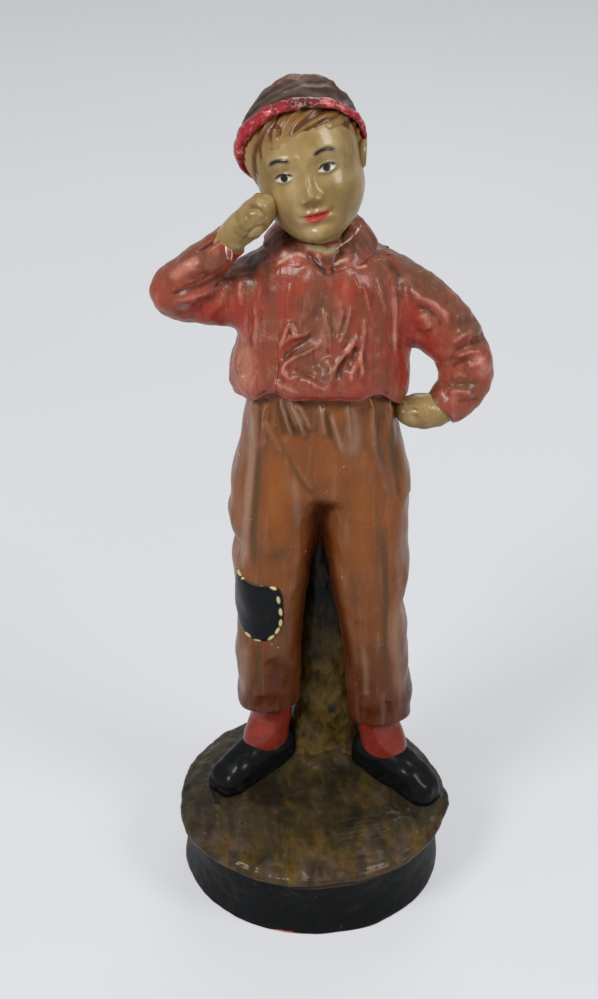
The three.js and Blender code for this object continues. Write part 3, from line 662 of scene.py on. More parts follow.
class FigureColours(bpy.types.PropertyGroup):
    """Paint colours."""

    shirt: swatch("Shirt", "Red-brown of the shirt", 134, 66, 49)
    shirt_deep: swatch("Shirt, sheltered", "Red in sheltered places", 142, 44, 30)
    shirt_dust: swatch("Shirt, dusty", "Olive-brown film on top", 100, 62, 42)
    # Also painted highlights and reflections in pale strokes on the shirt
    shirt_pale: swatch("Shirt, rubbed", "Pink rubbed places", 184, 122, 103)
    shirt_shade: swatch("Shirt, hollows", "Dark red-brown in hollows", 70, 27, 18)
    trousers: swatch("Trousers", "Brown of the trousers", 112, 62, 29)
    trousers_warm: swatch("Trousers, warm", "Orange-brown streaks", 132, 74, 27)
    # Also painted highlights and reflections in pale strips on the trousers
    trousers_pale: swatch("Trousers, pale", "Pink-grey rubbed places", 140, 108, 88)
    # Also painted shade in the trousers' creases and hollows
    trousers_olive: swatch("Trousers, olive", "Olive grime along the creases", 82, 56, 30)
    # Painted shade towards the hems and between the legs
    trousers_deep: swatch("Trousers, deep", "Dark red-brown between the legs", 70, 28, 8)
    skin: swatch("Skin", "Yellow-ochre skin", 132, 106, 62)
    # Also painted shade on the skin's faces that look down
    skin_olive: swatch("Skin, aged", "Olive film on the skin", 94, 71, 34)
    # Also painted varnish highlights in cream streaks on the skin
    skin_pale: swatch("Skin, pale", "Cream streaks", 166, 146, 106)
    lips: swatch("Lips", "Painted lips", 160, 58, 48)
    brows: swatch("Brows", "Painted brows and lashes", 30, 24, 22)
    eye_white: swatch("Eye white", "White of the eyes", 186, 182, 164)
    hair: swatch("Hair", "Sandy ochre hair", 116, 80, 40)
    hair_dark: swatch("Hair, dark", "Brown strands", 76, 44, 20)
    hair_pale: swatch("Hair, pale", "Cream locks at the side", 144, 118, 78)
    cap: swatch("Cap", "Grey-brown cap", 50, 40, 35)
    cap_rust: swatch("Cap, rust", "Rust on top of the cap", 92, 53, 33)
    # Grey streaks above the band: rubbed paint and painted sheen
    cap_grey_and_sheen: swatch("Cap, rubbed", "Grey streaks along the cap's folds", 88, 76, 70)
    band: swatch("Band", "Crimson band", 150, 32, 42)
    band_worn: swatch("Band, worn", "Pink and white specks", 206, 136, 134)
    stockings: swatch("Stockings", "Red stockings", 104, 34, 24)
    shoes: swatch("Shoes", "Black shoes", 9, 10, 10)
    plinth: swatch("Plinth", "Blue-black plinth", 12, 15, 16)
    earth: swatch("Earth", "Dark olive earth", 52, 44, 24)
    # Also painted shade between the legs, below the crotch
    earth_black: swatch("Earth, black", "Black strokes in the earth", 15, 16, 14)
    earth_ochre: swatch("Earth, ochre", "Ochre dabs", 101, 77, 17)
    earth_mauve: swatch("Earth, mauve", "Mauve-grey dabs", 78, 66, 58)
    patch: swatch("Patch", "Blue-black patch", 10, 12, 15)
    stitches: swatch("Stitches", "Cream stitches", 196, 182, 132)
    # Also the painted highlight along the collar's rolled edges
    worn: swatch("Worn", "Pale rubbed paint", 190, 138, 122)
    chips: swatch("Chips", "Bare ground under chipped paint", 214, 192, 180)
    # Dark paint in hollows and where pieces meet: soiling together with painted shade
    grime_and_shade: swatch("Grime", "Dirt in hollows", 38, 24, 16)
    clay: swatch("Clay", "Bare terracotta", 170, 96, 70)
    floor: swatch("Floor", "Floor of the stage", 204, 205, 208)
    floor_pale: swatch("Floor, pale", "Paler clouds of the floor", 210, 211, 214)
    floor_glow: swatch("Floor, lifted", "What lifts the seen floor", 220, 221, 224)
    air: swatch("Air", "Backdrop and dim light", 226, 227, 230)


def sizes():
    """The scene's sizes and amounts."""
    return bpy.context.scene.figure_sizes


def colour_of(name):
    """A paint colour as a shader's four numbers."""
    return (*getattr(bpy.context.scene.figure_colours, name), 1.0)


# Finishes


def cached(name, make):
    """A material by name, made once."""
    found = bpy.data.materials.get(name)
    return found or make(name)


def shirt_coat(name):
    """The shirt's paint: red where sheltered, brown film on top, rubbed pink, dark strokes and chips.

    The pink is also painted highlight and reflection, and the dark strokes are painted shade in the notch and
    grooves.
    """
    bench = Bench(name)
    shares = (0.75, 0.7, 0.85)
    bench.aged("shirt", "shirt_deep", "shirt_dust", shares, HANGING, "shirt_pale", "shirt_shade")
    bench.brushed("red", "shirt_deep", 0.85, 9, HANGING)
    bench.brushed("dust", "shirt_dust", 0.8, 8, HANGING)
    # Pale strokes: painted highlights and reflections
    bench.brushed("pale", "shirt_pale", 0.6, 6, HANGING)
    bench.dabbed("shirt_pale", 0.35, 6, (0.5, 0.8), (1, 1, 0.25), 0.6)
    bench.dabbed("shirt_shade", 0.4, 2.4, (0.54, 0.74), (1, 1, 0.16), 0.5)
    # Dark strokes in the neck's notch, by the braces, in the cuff's slit and under the fist: painted shade
    bench.brushed("soot", "grime_and_shade", 0.7, 5, HANGING)
    # Pale strokes along the collar's rolled edges: painted highlight
    bench.brushed("edge", "worn", 0.9, 3)
    bench.brushed("bare", "skin_pale", 0.95, 2)
    bench.over(bench.step(bench.mask("chips") + bench.noise(2.2) * 1.2, 1.15, 1.3) * 0.85, "chips")
    return bench


SHIRT_VARNISH = {"depth": 0.6, "coat": 0.22, "coat_roughness": 0.2, "shine": 0.12}


def shirt_paint(name):
    """The shirt's paint under a thin varnish."""
    return shirt_coat(name).done(**SHIRT_VARNISH)


def brace_paint(name):
    """The shirt's paint, with its brown film along the middle of the strip."""
    bench = shirt_coat(name)
    bench.over(bench.mask("strip") * 0.42, "shirt_dust")
    return bench.done(**SHIRT_VARNISH)


def trouser_paint(name):
    """Brown with upright streaks: darker towards the hems and between the legs, pale where rubbed.

    The darkness towards the hems and between the legs is painted shade, and the pale strips are painted
    highlights and reflections.
    """
    bench = Bench(name)
    streak = (1, 1, 0.2)
    shares = (0.3, 0.6, 0.85)
    pale = "trousers_pale"
    bench.aged("trousers", "trousers_warm", pale, shares, streak, pale, "trousers_olive")
    # Darker towards the hems: painted shade on the lower legs
    low = 1 - bench.step(bench.height + bench.noise(30) * 0.03, (RIGHT_HEM + 12) * MM, (RIGHT_HEM + 95) * MM)
    bench.over(low * 0.9, "trousers_deep")
    bench.dabbed(pale, 0.33, 4, (0.48, 0.78), (1, 1, 0.12), 0.5)
    bench.dabbed("trousers_olive", 0.65, 9, (0.5, 0.75), (1, 1, 0.16), 0.7)
    bench.brushed("warm", "trousers_warm", 0.7, 9, streak)
    # Pale strips: painted highlights and reflections
    bench.brushed("pale", pale, 0.85, 5, streak)
    bench.brushed("olive", "trousers_olive", 0.85, 4, streak)
    bench.brushed("shade", "trousers_deep", 0.92, 9, streak)
    # Black between the legs below the crotch: painted shade
    bench.over(bench.step(bench.mask("deep"), 0.1, 0.9) * 0.4, "earth_black")
    bench.dabbed("chips", 0.7, 2.6, (0.735, 0.75))
    return bench.done(0.8, coat=0.25, coat_roughness=0.18, shine=0.1)


def skin_paint(name):
    """Ochre skin with cream and olive clouds, and the painted lips, eyes and brows.

    The cream streaks are partly painted varnish highlights; the olive, stronger on faces that look down, is
    partly painted shade.
    """
    bench = Bench(name)
    bench.aged("skin", "skin", "skin_pale", (0.3, 0.3, 0.6), worn="skin_pale")
    # Cream streaks: partly the skin's own cream, partly painted varnish highlights
    bench.dabbed("skin_pale", 0.65, 15, (0.4, 0.7), (1.3, 1, 0.6), 0.5)
    # Olive film, stronger on faces that look down: partly painted shade
    olive_and_shade = bench.step(bench.noise(19, (1, 1, 0.8), warp=0.5) - bench.up * 0.12, 0.46, 0.72)
    bench.over(olive_and_shade * 0.55, "skin_olive")
    for part in ("lips", "eye_white", "brows"):
        bench.over(bench.mask(part), part)
    return bench.done(0.2, coat=0.3, coat_roughness=0.2)


def hair_paint(name):
    """Ochre hair, paler at the side and thin at the hairline, with dark strands."""
    bench = Bench(name)
    bench.aged("hair", "hair", "skin_olive", (0.3, 0.3, 0.8), shade="hair_dark")
    bench.brushed("pale", "hair_pale", 0.85, 4)
    bench.over(bench.step(bench.mask("thin") + bench.noise(3, warp=0.5) * 0.8, 0.6, 1.25) * 0.85, "skin")
    bench.brushed("strand", "hair_dark", 0.95, 3)
    return bench.done(0.2, coat=0.25, coat_roughness=0.2)


def cap_paint(name):
    """Dull grey-brown with rust on top and grey along the folds.

    The grey streaks above the band are rubbed paint and painted sheen.
    """
    bench = Bench(name)
    bench.aged("cap", "cap", "cap_rust", (0.2, 0.3, 0.6), worn="cap_grey_and_sheen")
    bench.brushed("rust", "cap_rust", 0.85, 8)
    # Grey streaks above the band: rubbed paint and painted sheen
    bench.brushed("grey", "cap_grey_and_sheen", 0.6, 4)
    bench.roughness = bench.roughness + 0.12
    return bench.done(0.25, coat=0.08)


def band_paint(name):
    """Crimson with pale specks, rubbed down to the cap's colour in one place."""
    bench = Bench(name)
    bench.aged("band", "band", "cap", (0.3, 0.2, 0.5))
    bench.over(bench.mask("rubbed"), "cap")
    bench.dabbed("band_worn", 0.65, 3.2, (0.54, 0.72), warp=0.9, mask="specks", pull=0.08)
    return bench.done(0.3, coat=0.3)


def stocking_paint(name):
    """Glossy red."""
    bench = Bench(name)
    bench.aged("stockings", "shirt_deep", "shirt", (0.25, 0.2, 0.5))
    bench.roughness = bench.roughness - 0.04
    return bench.done(0.2, coat=0.5, coat_roughness=0.12)


def shoe_paint(name):
    """Black with a soft shine."""
    bench = Bench(name)
    bench.aged("shoes", "shoes", "plinth", (0.3, 0.08, 0.1), worn="earth_mauve")
    bench.roughness = bench.roughness + 0.06
    return bench.done(0.15, coat=0.12, shine=0.06)


def plinth_paint(name):
    """Dull black with scuffs and dots, chipped to bare clay along the foot."""
    bench = Bench(name)
    bench.aged("plinth", "shoes", "plinth", (0.2, 0.08, 0.1))
    bench.dabbed("earth_mauve", 0.16, 16, (0.56, 0.75), (1, 1, 2), 0.7)
    bench.dabbed("skin", 0.5, 2.4, (0.73, 0.76))
    bench.over(bench.step(bench.mask("chip") + bench.noise(3.5) * 0.8, 0.95, 1.1), "clay")
    bench.roughness = bench.roughness + 0.16
    return bench.done(0.3, coat=0.03)


def earth_paint(name):
    """Olive earth and bark with mauve, rust, ochre and black dabs."""
    bench = Bench(name)
    bench.aged("earth", "earth", "earth", (0.2, 0.2, 0.7), worn="earth_mauve")
    bench.dabbed("earth_mauve", 0.75, 7, (0.48, 0.85), (1, 0.6, 1), 0.4, "mauve", 0.12)
    bench.dabbed("trousers", 0.24, 5, (0.54, 0.8), (1, 0.5, 1), 0.5, "mauve", 0.1)
    bench.dabbed("earth_ochre", 0.52, 9, (0.52, 0.86), (1.2, 0.6, 0.6), 0.6, "ochre", 0.17)
    # On the stump, black dabs and sponge marks gather at the top between the legs: partly its dark paint,
    # partly painted shade
    bench.dabbed("earth_black", 0.75, 13, (0.46, 0.82), (1, 0.7, 0.6), 0.6, "black", 0.35)
    sponge = bench.step(bench.noise(5, (1, 1, 0.6)), 0.5, 0.62) * bench.mask("sponge")
    bench.over(sponge * 0.9, "earth_black")
    bench.roughness = bench.roughness + 0.04
    return bench.done(0.6, coat=0.15)


def patch_paint(name):
    """Blue-black with cream stitches."""
    bench = Bench(name)
    bench.aged("patch", "patch", "earth_mauve", (0.1, 0.1, 0.1))
    bench.over(bench.mask("stitches"), "stitches")
    return bench.done(0.2, coat=0.15)


FINISHES = {
    "plinth_black": plinth_paint,
    "earth_paint": earth_paint,
    "shoe_black": shoe_paint,
    "stocking_red": stocking_paint,
    "trouser_brown": trouser_paint,
    "shirt_red": shirt_paint,
    "skin_paint": skin_paint,
    "hair_paint": hair_paint,
    "cap_brown": cap_paint,
    "band_crimson": band_paint,
}


def dressed(node, parts, slot, paint=None):
    """A painted piece that stands for one CAD node."""
    make = paint or FINISHES[slot]
    return add_piece("painted_" + node, parts, [node], cached("aged_" + make.__name__, make))


# Plinth, ground and stump

FOOT_KNOCKS = [((-14, -70, 0), (6, 6, 2.5), 0.9), ((40, -58, 0), (7, 7, 2), 0.3)]


def drum_shape():
    """A ring of level circles carried up the wall, over the top, down inside and back by the firing hole.

    Between wall and hole the circles' middles and radii pass evenly from the drum to the hole.
    """
    floor, vent, vent_y = 6.0, 9.0, 38.0
    bevel, waist, foot_inset = 1.3, 1.1, 1.6
    up = np.linspace(0, 1, 46)
    outer_z = bevel + (DRUM_TOP - bevel) * up
    outer_r = DRUM_RADIUS - waist * np.sin(math.pi * up) ** 1.2
    inner = DRUM_RADIUS - DRUM_WALL
    share = np.linspace(0, 1, 10)
    edge = np.linspace(0, math.pi / 2, 6)[:-1]
    pieces = [
        (DRUM_RADIUS - bevel + bevel * np.sin(edge), bevel - bevel * np.cos(edge), 0 * edge),
        (outer_r, outer_z, 0 * up),
        (np.array([inner + 2, inner]), np.array([DRUM_TOP, DRUM_TOP - 1]), np.zeros(2)),
        (inner + (vent - inner) * share, floor + 0 * share, vent_y * share),
        (vent + (DRUM_RADIUS - foot_inset - vent) * share, 0 * share, vent_y * (1 - share)),
    ]
    radius, z, middle = (np.concatenate([p[k] for p in pieces])[:, None] for k in range(3))
    angle = turn(320)
    grid = points_of(radius * np.cos(angle), middle + radius * np.sin(angle), z)
    outside = (np.hypot(grid[..., 0], grid[..., 1]) > inner + 4) & (grid[..., 2] > 0.01)
    lump = 0.25 * uneven(grid, 30, 3) + 0.06 * uneven(grid, 9, 4)
    grid = push(grid, lump * outside, True)
    grid[..., 2] = np.clip(grid[..., 2], 0, DRUM_TOP)
    foot = bell(grid[..., 2], 1.4) * outside
    masks = wear_masks(grid, True)
    masks["chip"] = np.clip(0.62 * foot + bumps(grid, FOOT_KNOCKS), 0, 1)
    return grid, masks, True


# Lines on the front sheet: each has a width on the sheet, a height in millimetres and points on the sheet
COMB_STEP = 4.5
COMB_LINES = [
    (1.2, -0.75, ((334, 824 + down), (360, 818 + down), (392, 815 + down)))
    for down in COMB_STEP * np.arange(5)
]
EARTH_LINES = [
    (3, 0.9, ((238, 850), (250, 862), (266, 868))),
    (3, 0.8, ((268, 838), (276, 855), (290, 870))),
    (3.2, 1, ((300, 842), (304, 860), (306, 878))),
    (3, 0.9, ((330, 850), (334, 866), (340, 878))),
    (3.4, -0.9, ((286, 842), (292, 858), (298, 874))),
    (3.4, -0.9, ((317, 846), (320, 862), (322, 880))),
    (3, 0.8, ((352, 858), (366, 866), (384, 862))),
    (4, 0.7, ((232, 800), (262, 806), (300, 802))),
    (3, -0.6, ((212, 792), (232, 815), (262, 828))),
]


def mound_shape():
    """Level rings from the vault's middle out to the lip, and back up the slope to the crest."""
    seat = DRUM_TOP + 0.3
    inner = DRUM_RADIUS - DRUM_WALL
    lip_round, slope_inset, roof, heap_high = 2.6, 1.6, 7.0, 13.0
    vault = np.linspace(0.02, 1, 8)
    slope = np.linspace(1, 0.01, 112)
    lip = np.linspace(0, math.pi, 14)[1:-1]
    lip_middle = (seat + LIP_TOP) / 2
    lip_half = (LIP_TOP - seat) / 2
    slope_start = RIM_RADIUS - lip_round
    radius = np.concatenate([inner * vault, slope_start + lip_round * np.sin(lip), slope_start * slope])
    vault_z = seat + (LIP_TOP + MOUND_RISE - roof - seat) * (1 - vault**2)
    lip_z = lip_middle - lip_half * np.cos(lip)
    z = np.concatenate([vault_z, lip_z, ground((RIM_RADIUS - slope_inset) * slope, 0)])
    angle = turn(420)
    swell = 0.9 * (np.cos(3 * angle + 1) + 0.6 * np.cos(7 * angle)) + 0.15 * np.cos(17 * angle + 2)
    share = rise_between(radius, inner + 2, RIM_RADIUS - 3)[:, None]
    reach = radius[:, None] + swell * share
    grid = points_of(reach * np.cos(angle), reach * np.sin(angle), z[:, None])
    top = (np.arange(len(radius)) >= len(vault) + 4)[:, None] * np.ones_like(angle)
    top = soften(top, 6)
    heap = np.hypot(grid[..., 0] - STUMP_MIDDLE[0], grid[..., 1] - STUMP_MIDDLE[1] + 2)
    grid[..., 2] += top * heap_high * bell(heap, 25)
    lump = 0.45 * uneven(grid, 24, 11) + 0.16 * uneven(grid, 9, 12) + 0.06 * uneven(grid, 4, 13)
    rim = rise_between(np.hypot(grid[..., 0], grid[..., 1]), 46, 68)
    front = rise_between(-grid[..., 1], 8, 52)
    strokes = np.sin(angle * 22 + 1.6 * uneven(grid, 30, 14)) * 0.5 * rim * front
    drawn = front_folds(grid, COMB_LINES + EARTH_LINES)
    grid = push(grid, top * (lump + strokes + drawn))
    masks = wear_masks(grid)
    near_stump = bell(heap, 27)
    masks["ochre"] = np.maximum(front * (0.3 + 0.5 * rim), near_stump)
    masks["mauve"] = rim * front
    masks["black"] = 0.5 * (1 - front) * (1 - near_stump) + 0.12 * front
    # Darker round the shoes: painted shade
    masks["hollow"] = np.maximum(masks["hollow"], 0.8 * closeness(grid, SHOE_FIELDS, 4.0))
    return grid, masks, False


STUMP_HIGH = 176.0
STUMP_FOOT = ground(*STUMP_MIDDLE) - 3.5
STUMP_ROWS = curve(
    [
        (*STUMP_MIDDLE, STUMP_FOOT + STUMP_HIGH * share, radius, 0.8 * radius, 0.9 * radius)
        for share, radius in ((0, 33), (0.1, 24), (0.25, 20.4), (0.6, 15.6), (1, 10.5))
    ],
    120,
)


def stump_shape():
    """Round level rings, roughened like bark."""
    crown = STUMP_ROWS[-1] * (1, 1, 1, 0.55, 0.55, 0.55) + (0, 0, 2.2, 0, 0, 0)
    grid = ovals(np.vstack([STUMP_ROWS, crown]), turn(130), 1.0)
    flutes = 0.6 * np.sin(5 * turn(130) + 0.8 * uneven(grid, 50, 21))
    grid = push(grid, flutes + 0.6 * uneven(grid, 20, 22) + 0.15 * uneven(grid, 6, 23))
    masks = wear_masks(grid)
    # Black and sponge marks gather towards the top, where the stump stands between the legs: partly its dark
    # paint, partly painted shade
    high = rise_between(grid[..., 2], 112, 172)
    masks["sponge"] = 0.66 + 0.34 * high
    masks["ochre"] = 1.7 * (1 - high)
    masks["black"] = high
    # Darker where it meets the legs: painted shade
    masks["hollow"] = np.maximum(masks["hollow"], 0.5 * closeness(grid, LEG_FIELDS, 6.0))
    return grid, masks, False


# Feet

TOE_REACH = 39.0
HEEL_REACH = 13.0
SHOE_OUTLINE = curve(
    [
        (-1.0 * HEEL_REACH, 0.25, 0.45),
        (-0.95 * HEEL_REACH, 0.66, 0.8),
        (-0.7 * HEEL_REACH, 0.98, 1.12),
        (0, 1.12, 1.25),
        (0.25 * TOE_REACH, 1.07, 1.24),
        (0.5 * TOE_REACH, 1.03, 1.1),
        (0.75 * TOE_REACH, 1.04, 0.86),
        (0.9 * TOE_REACH, 0.95, 0.68),
        (0.975 * TOE_REACH, 0.68, 0.52),
        (1.0 * TOE_REACH, 0.2, 0.28),
    ],
    120,
)


def foot_line(ankle, toe_out, reach):
    """Places along a foot's middle line at distances from the ankle, and the direction across it."""
    angle = math.radians(toe_out) * np.sign(ankle[0])
    x = ankle[0] + reach * math.sin(angle)
    y = ankle[1] - reach * math.cos(angle)
    return x, y, np.array((math.cos(angle), math.sin(angle), 0))


def shoe_shape(ankle, toe_out):
    """Sections square to the foot: rounded over the instep, let into the ground below."""
    half_width, height = 11.0, 18.5
    reach, wide, high = SHOE_OUTLINE.T
    x, y, across = foot_line(ankle, toe_out, reach)
    angle = turn(120)
    side = signed_power(np.cos(angle), 0.78)
    rise = signed_power(np.sin(angle), 0.82)
    lift = np.where(rise > 0, high[:, None] * height * rise, 0.3 * high[:, None] * height * rise)
    grid = points_of(x[:, None], y[:, None], ground(x, y)[:, None] + lift)
    grid = grid + across * (half_width * wide[:, None] * side)[..., None]
    above = grid[..., 2] - ground(grid[..., 0], grid[..., 1])
    welt = 0.2 * bell(above - 2.0, 1.4) - 0.15 * bell(above - 4.6, 1.4)
    from_leg = np.hypot(grid[..., 0] - ankle[0], grid[..., 1] - ankle[1])
    rim = 0.6 * bell(from_leg - 12.0, 1.8) * rise_between(above, 8, 13)
    grid = push(grid, welt + rim + 0.2 * uneven(grid, 9, 31) * rise_between(from_leg, 14, 24))
    return grid, wear_masks(grid), False


def shoe_field(ankle, toe_out):
    """Distance to a shoe as a chain of balls along the foot."""
    reach = np.array((-8.0, 4.0, 16.0, 28.0))
    x, y, _ = foot_line(ankle, toe_out, reach)
    size = np.array((10.0, 11.5, 11.5, 10.5))
    return tube_field(np.stack([x, y, ground(x, y) + 4, size, size], -1))


TOES_OUT = (51, 53)
SHOE_FIELDS = [shoe_field(RIGHT_ANKLE, TOES_OUT[0]), shoe_field(LEFT_ANKLE, TOES_OUT[1])]


def stocking_shape(ankle, toe_out, sole, hem):
    """Level rings, round at the hem and drawn out over the instep at the bottom."""
    z = np.linspace(sole + 6, hem + 9, 90)
    low = 1 - rise_between(z, sole + 18, sole + 36)
    x, y, across = foot_line(ankle, toe_out, 4 * low)
    forward = np.array((across[1], -across[0], 0))
    angle = turn(140)
    half_long = (11.2 + 3.0 * low)[:, None] * np.cos(angle)
    half_wide = (11.2 - 0.6 * low)[:, None] * np.sin(angle)
    grid = np.stack([x, y, z], -1)[:, None] + half_long[..., None] * forward + half_wide[..., None] * across
    grid = push(grid, 0.1 * uneven(grid, 15, 41) + 0.03 * uneven(grid, 6, 42))
    return grid, wear_masks(grid), False


# Trousers

HIP_OUT = 22.9
LEG_HALF = 22.6
LEG_DEEP = 29.6
LEG_WEB = 12.0
WEB_DEEP = 16.5
HEM_OUT = 1.62


def leg_rows(ankle, hem, count):
    """A leg's level ovals from hem to hip, carried on a little way into the seat."""
    side = np.sign(ankle[0])
    foot_x = ankle[0] + side * HEM_OUT
    hip_x = HIP_X + side * HIP_OUT
    stations = []
    for share, half, depth, to_hip, out in (
        (0, 17.4, 17, 0.09, 0),
        (0.24, 17.6, 19.5, 0.31, 0.6),
        (0.47, 17.9, 22, 0.71, 1.5),
        (0.7, 20.6, 25.5, 1, 2),
        (1, LEG_HALF, LEG_DEEP, 1, 0),
        (1.08, 20.5, 26.5, 1, 0),
        (1.16, 12, 16, 0.98, 0),
        (1.22, 4, 6, 0.96, 0),
    ):
        x = foot_x + (hip_x - foot_x) * to_hip + side * out
        y = ankle[1] + (HIP_Y - ankle[1]) * min(share, 1)
        stations.append((x, y, hem + (CROTCH - hem) * share, half, depth, depth))
    return curve(stations, count)


SEAT_ROWS = curve(
    [
        (HIP_X, HIP_Y, CROTCH + rise, half, front, back)
        for rise, half, front, back in (
            (-14, 39.5, 28, 28),
            (-6, 43.6, 31.4, 31.4),
            (0, 45.2, 33, 33),
            (12, 45.9, 32, 32),
            (35.5, 40.8, 32, 32),
            (59, 37.2, 32, 30),
            (SEAT_HIGH, 36, 30, 28),
        )
    ],
    150,
)
LEG_ROWS = [leg_rows(RIGHT_ANKLE, RIGHT_HEM, 210), leg_rows(LEFT_ANKLE, LEFT_HEM, 210)]
LEG_FIELDS = [oval_field(rows) for rows in LEG_ROWS]

TROUSER_LINES = [
    (3.6, -0.9, ((262, 440), (258, 462), (254, 494), (253, 535), (256, 564))),
    (4.5, 1.3, ((255, 404), (251, 461), (246, 510), (244, 543))),
    (3, 0.7, ((270, 470), (268, 510), (266, 545))),
    (1.8, 1.6, ((268, 398), (266, 430), (264, 452))),
    (1.6, 1.7, ((280, 396), (287, 418), (293, 438))),
    (1.6, 1.7, ((289, 398), (299, 419), (306, 440))),
    (1.5, 1.4, ((297, 400), (306, 416), (312, 432))),
    (2.6, -0.5, ((271, 414), (280, 441), (288, 460), (296, 472), (310, 494), (323, 503))),
    (2.2, 1.2, ((266, 418), (275, 438), (285, 458))),
    (2.4, 1, ((296, 462), (304, 478), (316, 492))),
    (1.7, 1.4, ((321, 404), (323, 422), (326, 440))),
    (2, 1.2, ((330, 413), (337, 435), (343, 453))),
    (2.6, -0.9, ((327, 410), (332, 436), (337, 456))),
    (2.4, -1.2, ((275, 398), (281, 420), (286, 442))),
    (2.2, -1.1, ((284, 398), (293, 420), (299, 440))),
    (2.4, -0.9, ((362, 402), (364, 430), (366, 456))),
    (1.6, 1.2, ((256, 398), (258, 420), (257, 440))),
    (1.8, 1, ((346, 404), (349, 424), (351, 446))),
    (1.6, 1.5, ((370, 396), (371, 426), (373, 458))),
    (1.8, 1.1, ((378, 408), (374, 447), (382, 476), (386, 500))),
    (2.4, -0.7, ((381, 404), (379, 440), (386, 470))),
    (1.8, 1.5, ((384, 394), (388, 420), (393, 452))),
    (3.6, -1, ((378, 500), (381, 543), (385, 584), (386, 625), (385, 670), (388, 700))),
    (4, 1.3, ((392, 505), (397, 553), (401, 584), (398, 615), (395, 650), (397, 690))),
    (3, 1.2, ((394, 428), (404, 470), (408, 503))),
    (3, -1, ((388, 430), (396, 470), (400, 505))),
    (3.6, -0.8, ((256, 640), (258, 666), (255, 700))),
    (3.2, 0.8, ((246, 640), (247, 670), (247, 700))),
    (4, -0.9, ((268, 660), (274, 672), (272, 690))),
    (3, 0.8, ((283, 640), (284, 665), (281, 690))),
    (2.4, -1, ((262, 696), (262, 703), (261, 710))),
    (2.4, -1, ((386, 700), (388, 712), (389, 720))),
    (3, 0.7, ((355, 600), (359, 640), (362, 680))),
    (3, -0.7, ((349, 560), (356, 600), (358, 640))),
    (2.4, 0.7, ((335, 520), (345, 560), (352, 590))),
    (2.4, 0.6, ((300, 520), (298, 560), (292, 600))),
    (3, 0.8, ((366, 690), (368, 700), (364, 712))),
]

# Lines on the back: each has a width, a height and points in x and z, all in millimetres
TROUSER_BACK_LINES = [
    (2.4, -1.6, ((4, 296), (5, 262), (5, 232))),
    (3, -1.4, ((-2, 226), (-18, 219), (-34, 222))),
    (3, -1.4, ((10, 226), (26, 219), (42, 222))),
    (3.2, 1.2, ((-20, 280), (-24, 262), (-22, 240))),
    (3.2, 1.2, ((30, 280), (33, 262), (31, 240))),
    (2.6, -1.2, ((-38, 172), (-28, 164), (-14, 168))),
    (2.6, 1, ((-38, 163), (-27, 155), (-13, 160))),
    (2.6, -1.2, ((48, 170), (38, 162), (22, 166))),
    (2.6, 1, ((48, 161), (37, 153), (22, 158))),
    (3, 1, ((-26, 214), (-28, 190), (-27, 172))),
    (3, 1, ((35, 214), (37, 190), (38, 172))),
    (3, -1, ((-25, 146), (-25, 122), (-26, 100))),
    (3, -1, ((38, 146), (39, 122), (39, 96))),
]

# Dents and swellings: each has a middle, a reach along each axis and a height
TROUSER_SPOTS = [
    ((-42, 8, 203), (9, 16, 5.5), -2.6),
    ((-43, 8, 219), (9, 16, 9), 1.6),
    ((52, 10, 165), (9, 16, 5.5), -2.6),
    ((54, 10, 184), (9, 16, 10), 1.6),
    ((53, 10, 147), (9, 16, 7), 1.0),
    ((-43, 8, 132), (9, 14, 9), 0.8),
    ((-42, 8, 110), (9, 14, 6), -0.8),
    ((54, 10, 120), (9, 14, 6), -1.0),
    ((54, 10, 103), (9, 14, 6), 1.0),
]

# Strokes of paint on the front sheet: each has a width, a strength and points
TROUSER_PAINT = {
    # Pale strokes: painted highlights and reflections
    "pale": [
        (4.2, 1.1, ((256, 392), (253, 425), (251, 462), (247, 510), (244, 555), (243, 572))),
        (7, 0.8, ((284, 398), (292, 412), (304, 428))),
        (8, 0.7, ((350, 404), (356, 422), (354, 444), (350, 462))),
        (2.2, 0.7, ((321, 408), (323, 424), (326, 440))),
        (2.4, 0.8, ((330, 412), (337, 435), (344, 456))),
        (3.5, 0.6, ((398, 424), (405, 462), (409, 500), (407, 548))),
        (6, 0.7, ((400, 590), (396, 630), (399, 672), (401, 705))),
        (5, 0.6, ((243, 640), (244, 668), (243, 702))),
        (5, 0.5, ((290, 470), (296, 500), (298, 530))),
        (4, 0.5, ((362, 640), (366, 672), (366, 702))),
    ],
    "olive": [
        (3.4, 1, ((263, 436), (259, 470), (256, 510), (254, 550), (256, 576))),
        (3, 0.9, ((383, 512), (385, 556), (386, 600), (385, 650), (389, 712))),
        (2, 0.5, ((271, 416), (281, 442), (297, 474), (312, 495), (324, 504))),
        (2.2, 0.8, ((381, 402), (378, 440), (385, 474))),
        (3, 0.9, ((258, 636), (259, 664), (256, 706))),
        (6, 0.8, ((392, 415), (394, 450), (398, 480))),
        (1.4, 0.7, ((346, 407), (358, 405), (368, 402))),
    ],
    "warm": [
        (11, 0.9, ((276, 450), (275, 500), (276, 560))),
        (12, 0.9, ((362, 470), (362, 530), (358, 590))),
        (8, 0.8, ((316, 420), (330, 450), (328, 485))),
        (5, 0.8, ((240, 470), (238, 500), (240, 530))),
    ],
    "shade": [
        (8, 1, ((322, 500), (316, 536), (308, 580), (302, 630), (300, 690))),
        (7, 1, ((326, 500), (327, 540), (330, 575), (338, 612), (346, 650), (351, 690))),
        (10, 0.8, ((276, 655), (276, 680), (274, 712))),
        (4, 0.8, ((314, 503), (326, 509), (338, 503))),
    ],
}


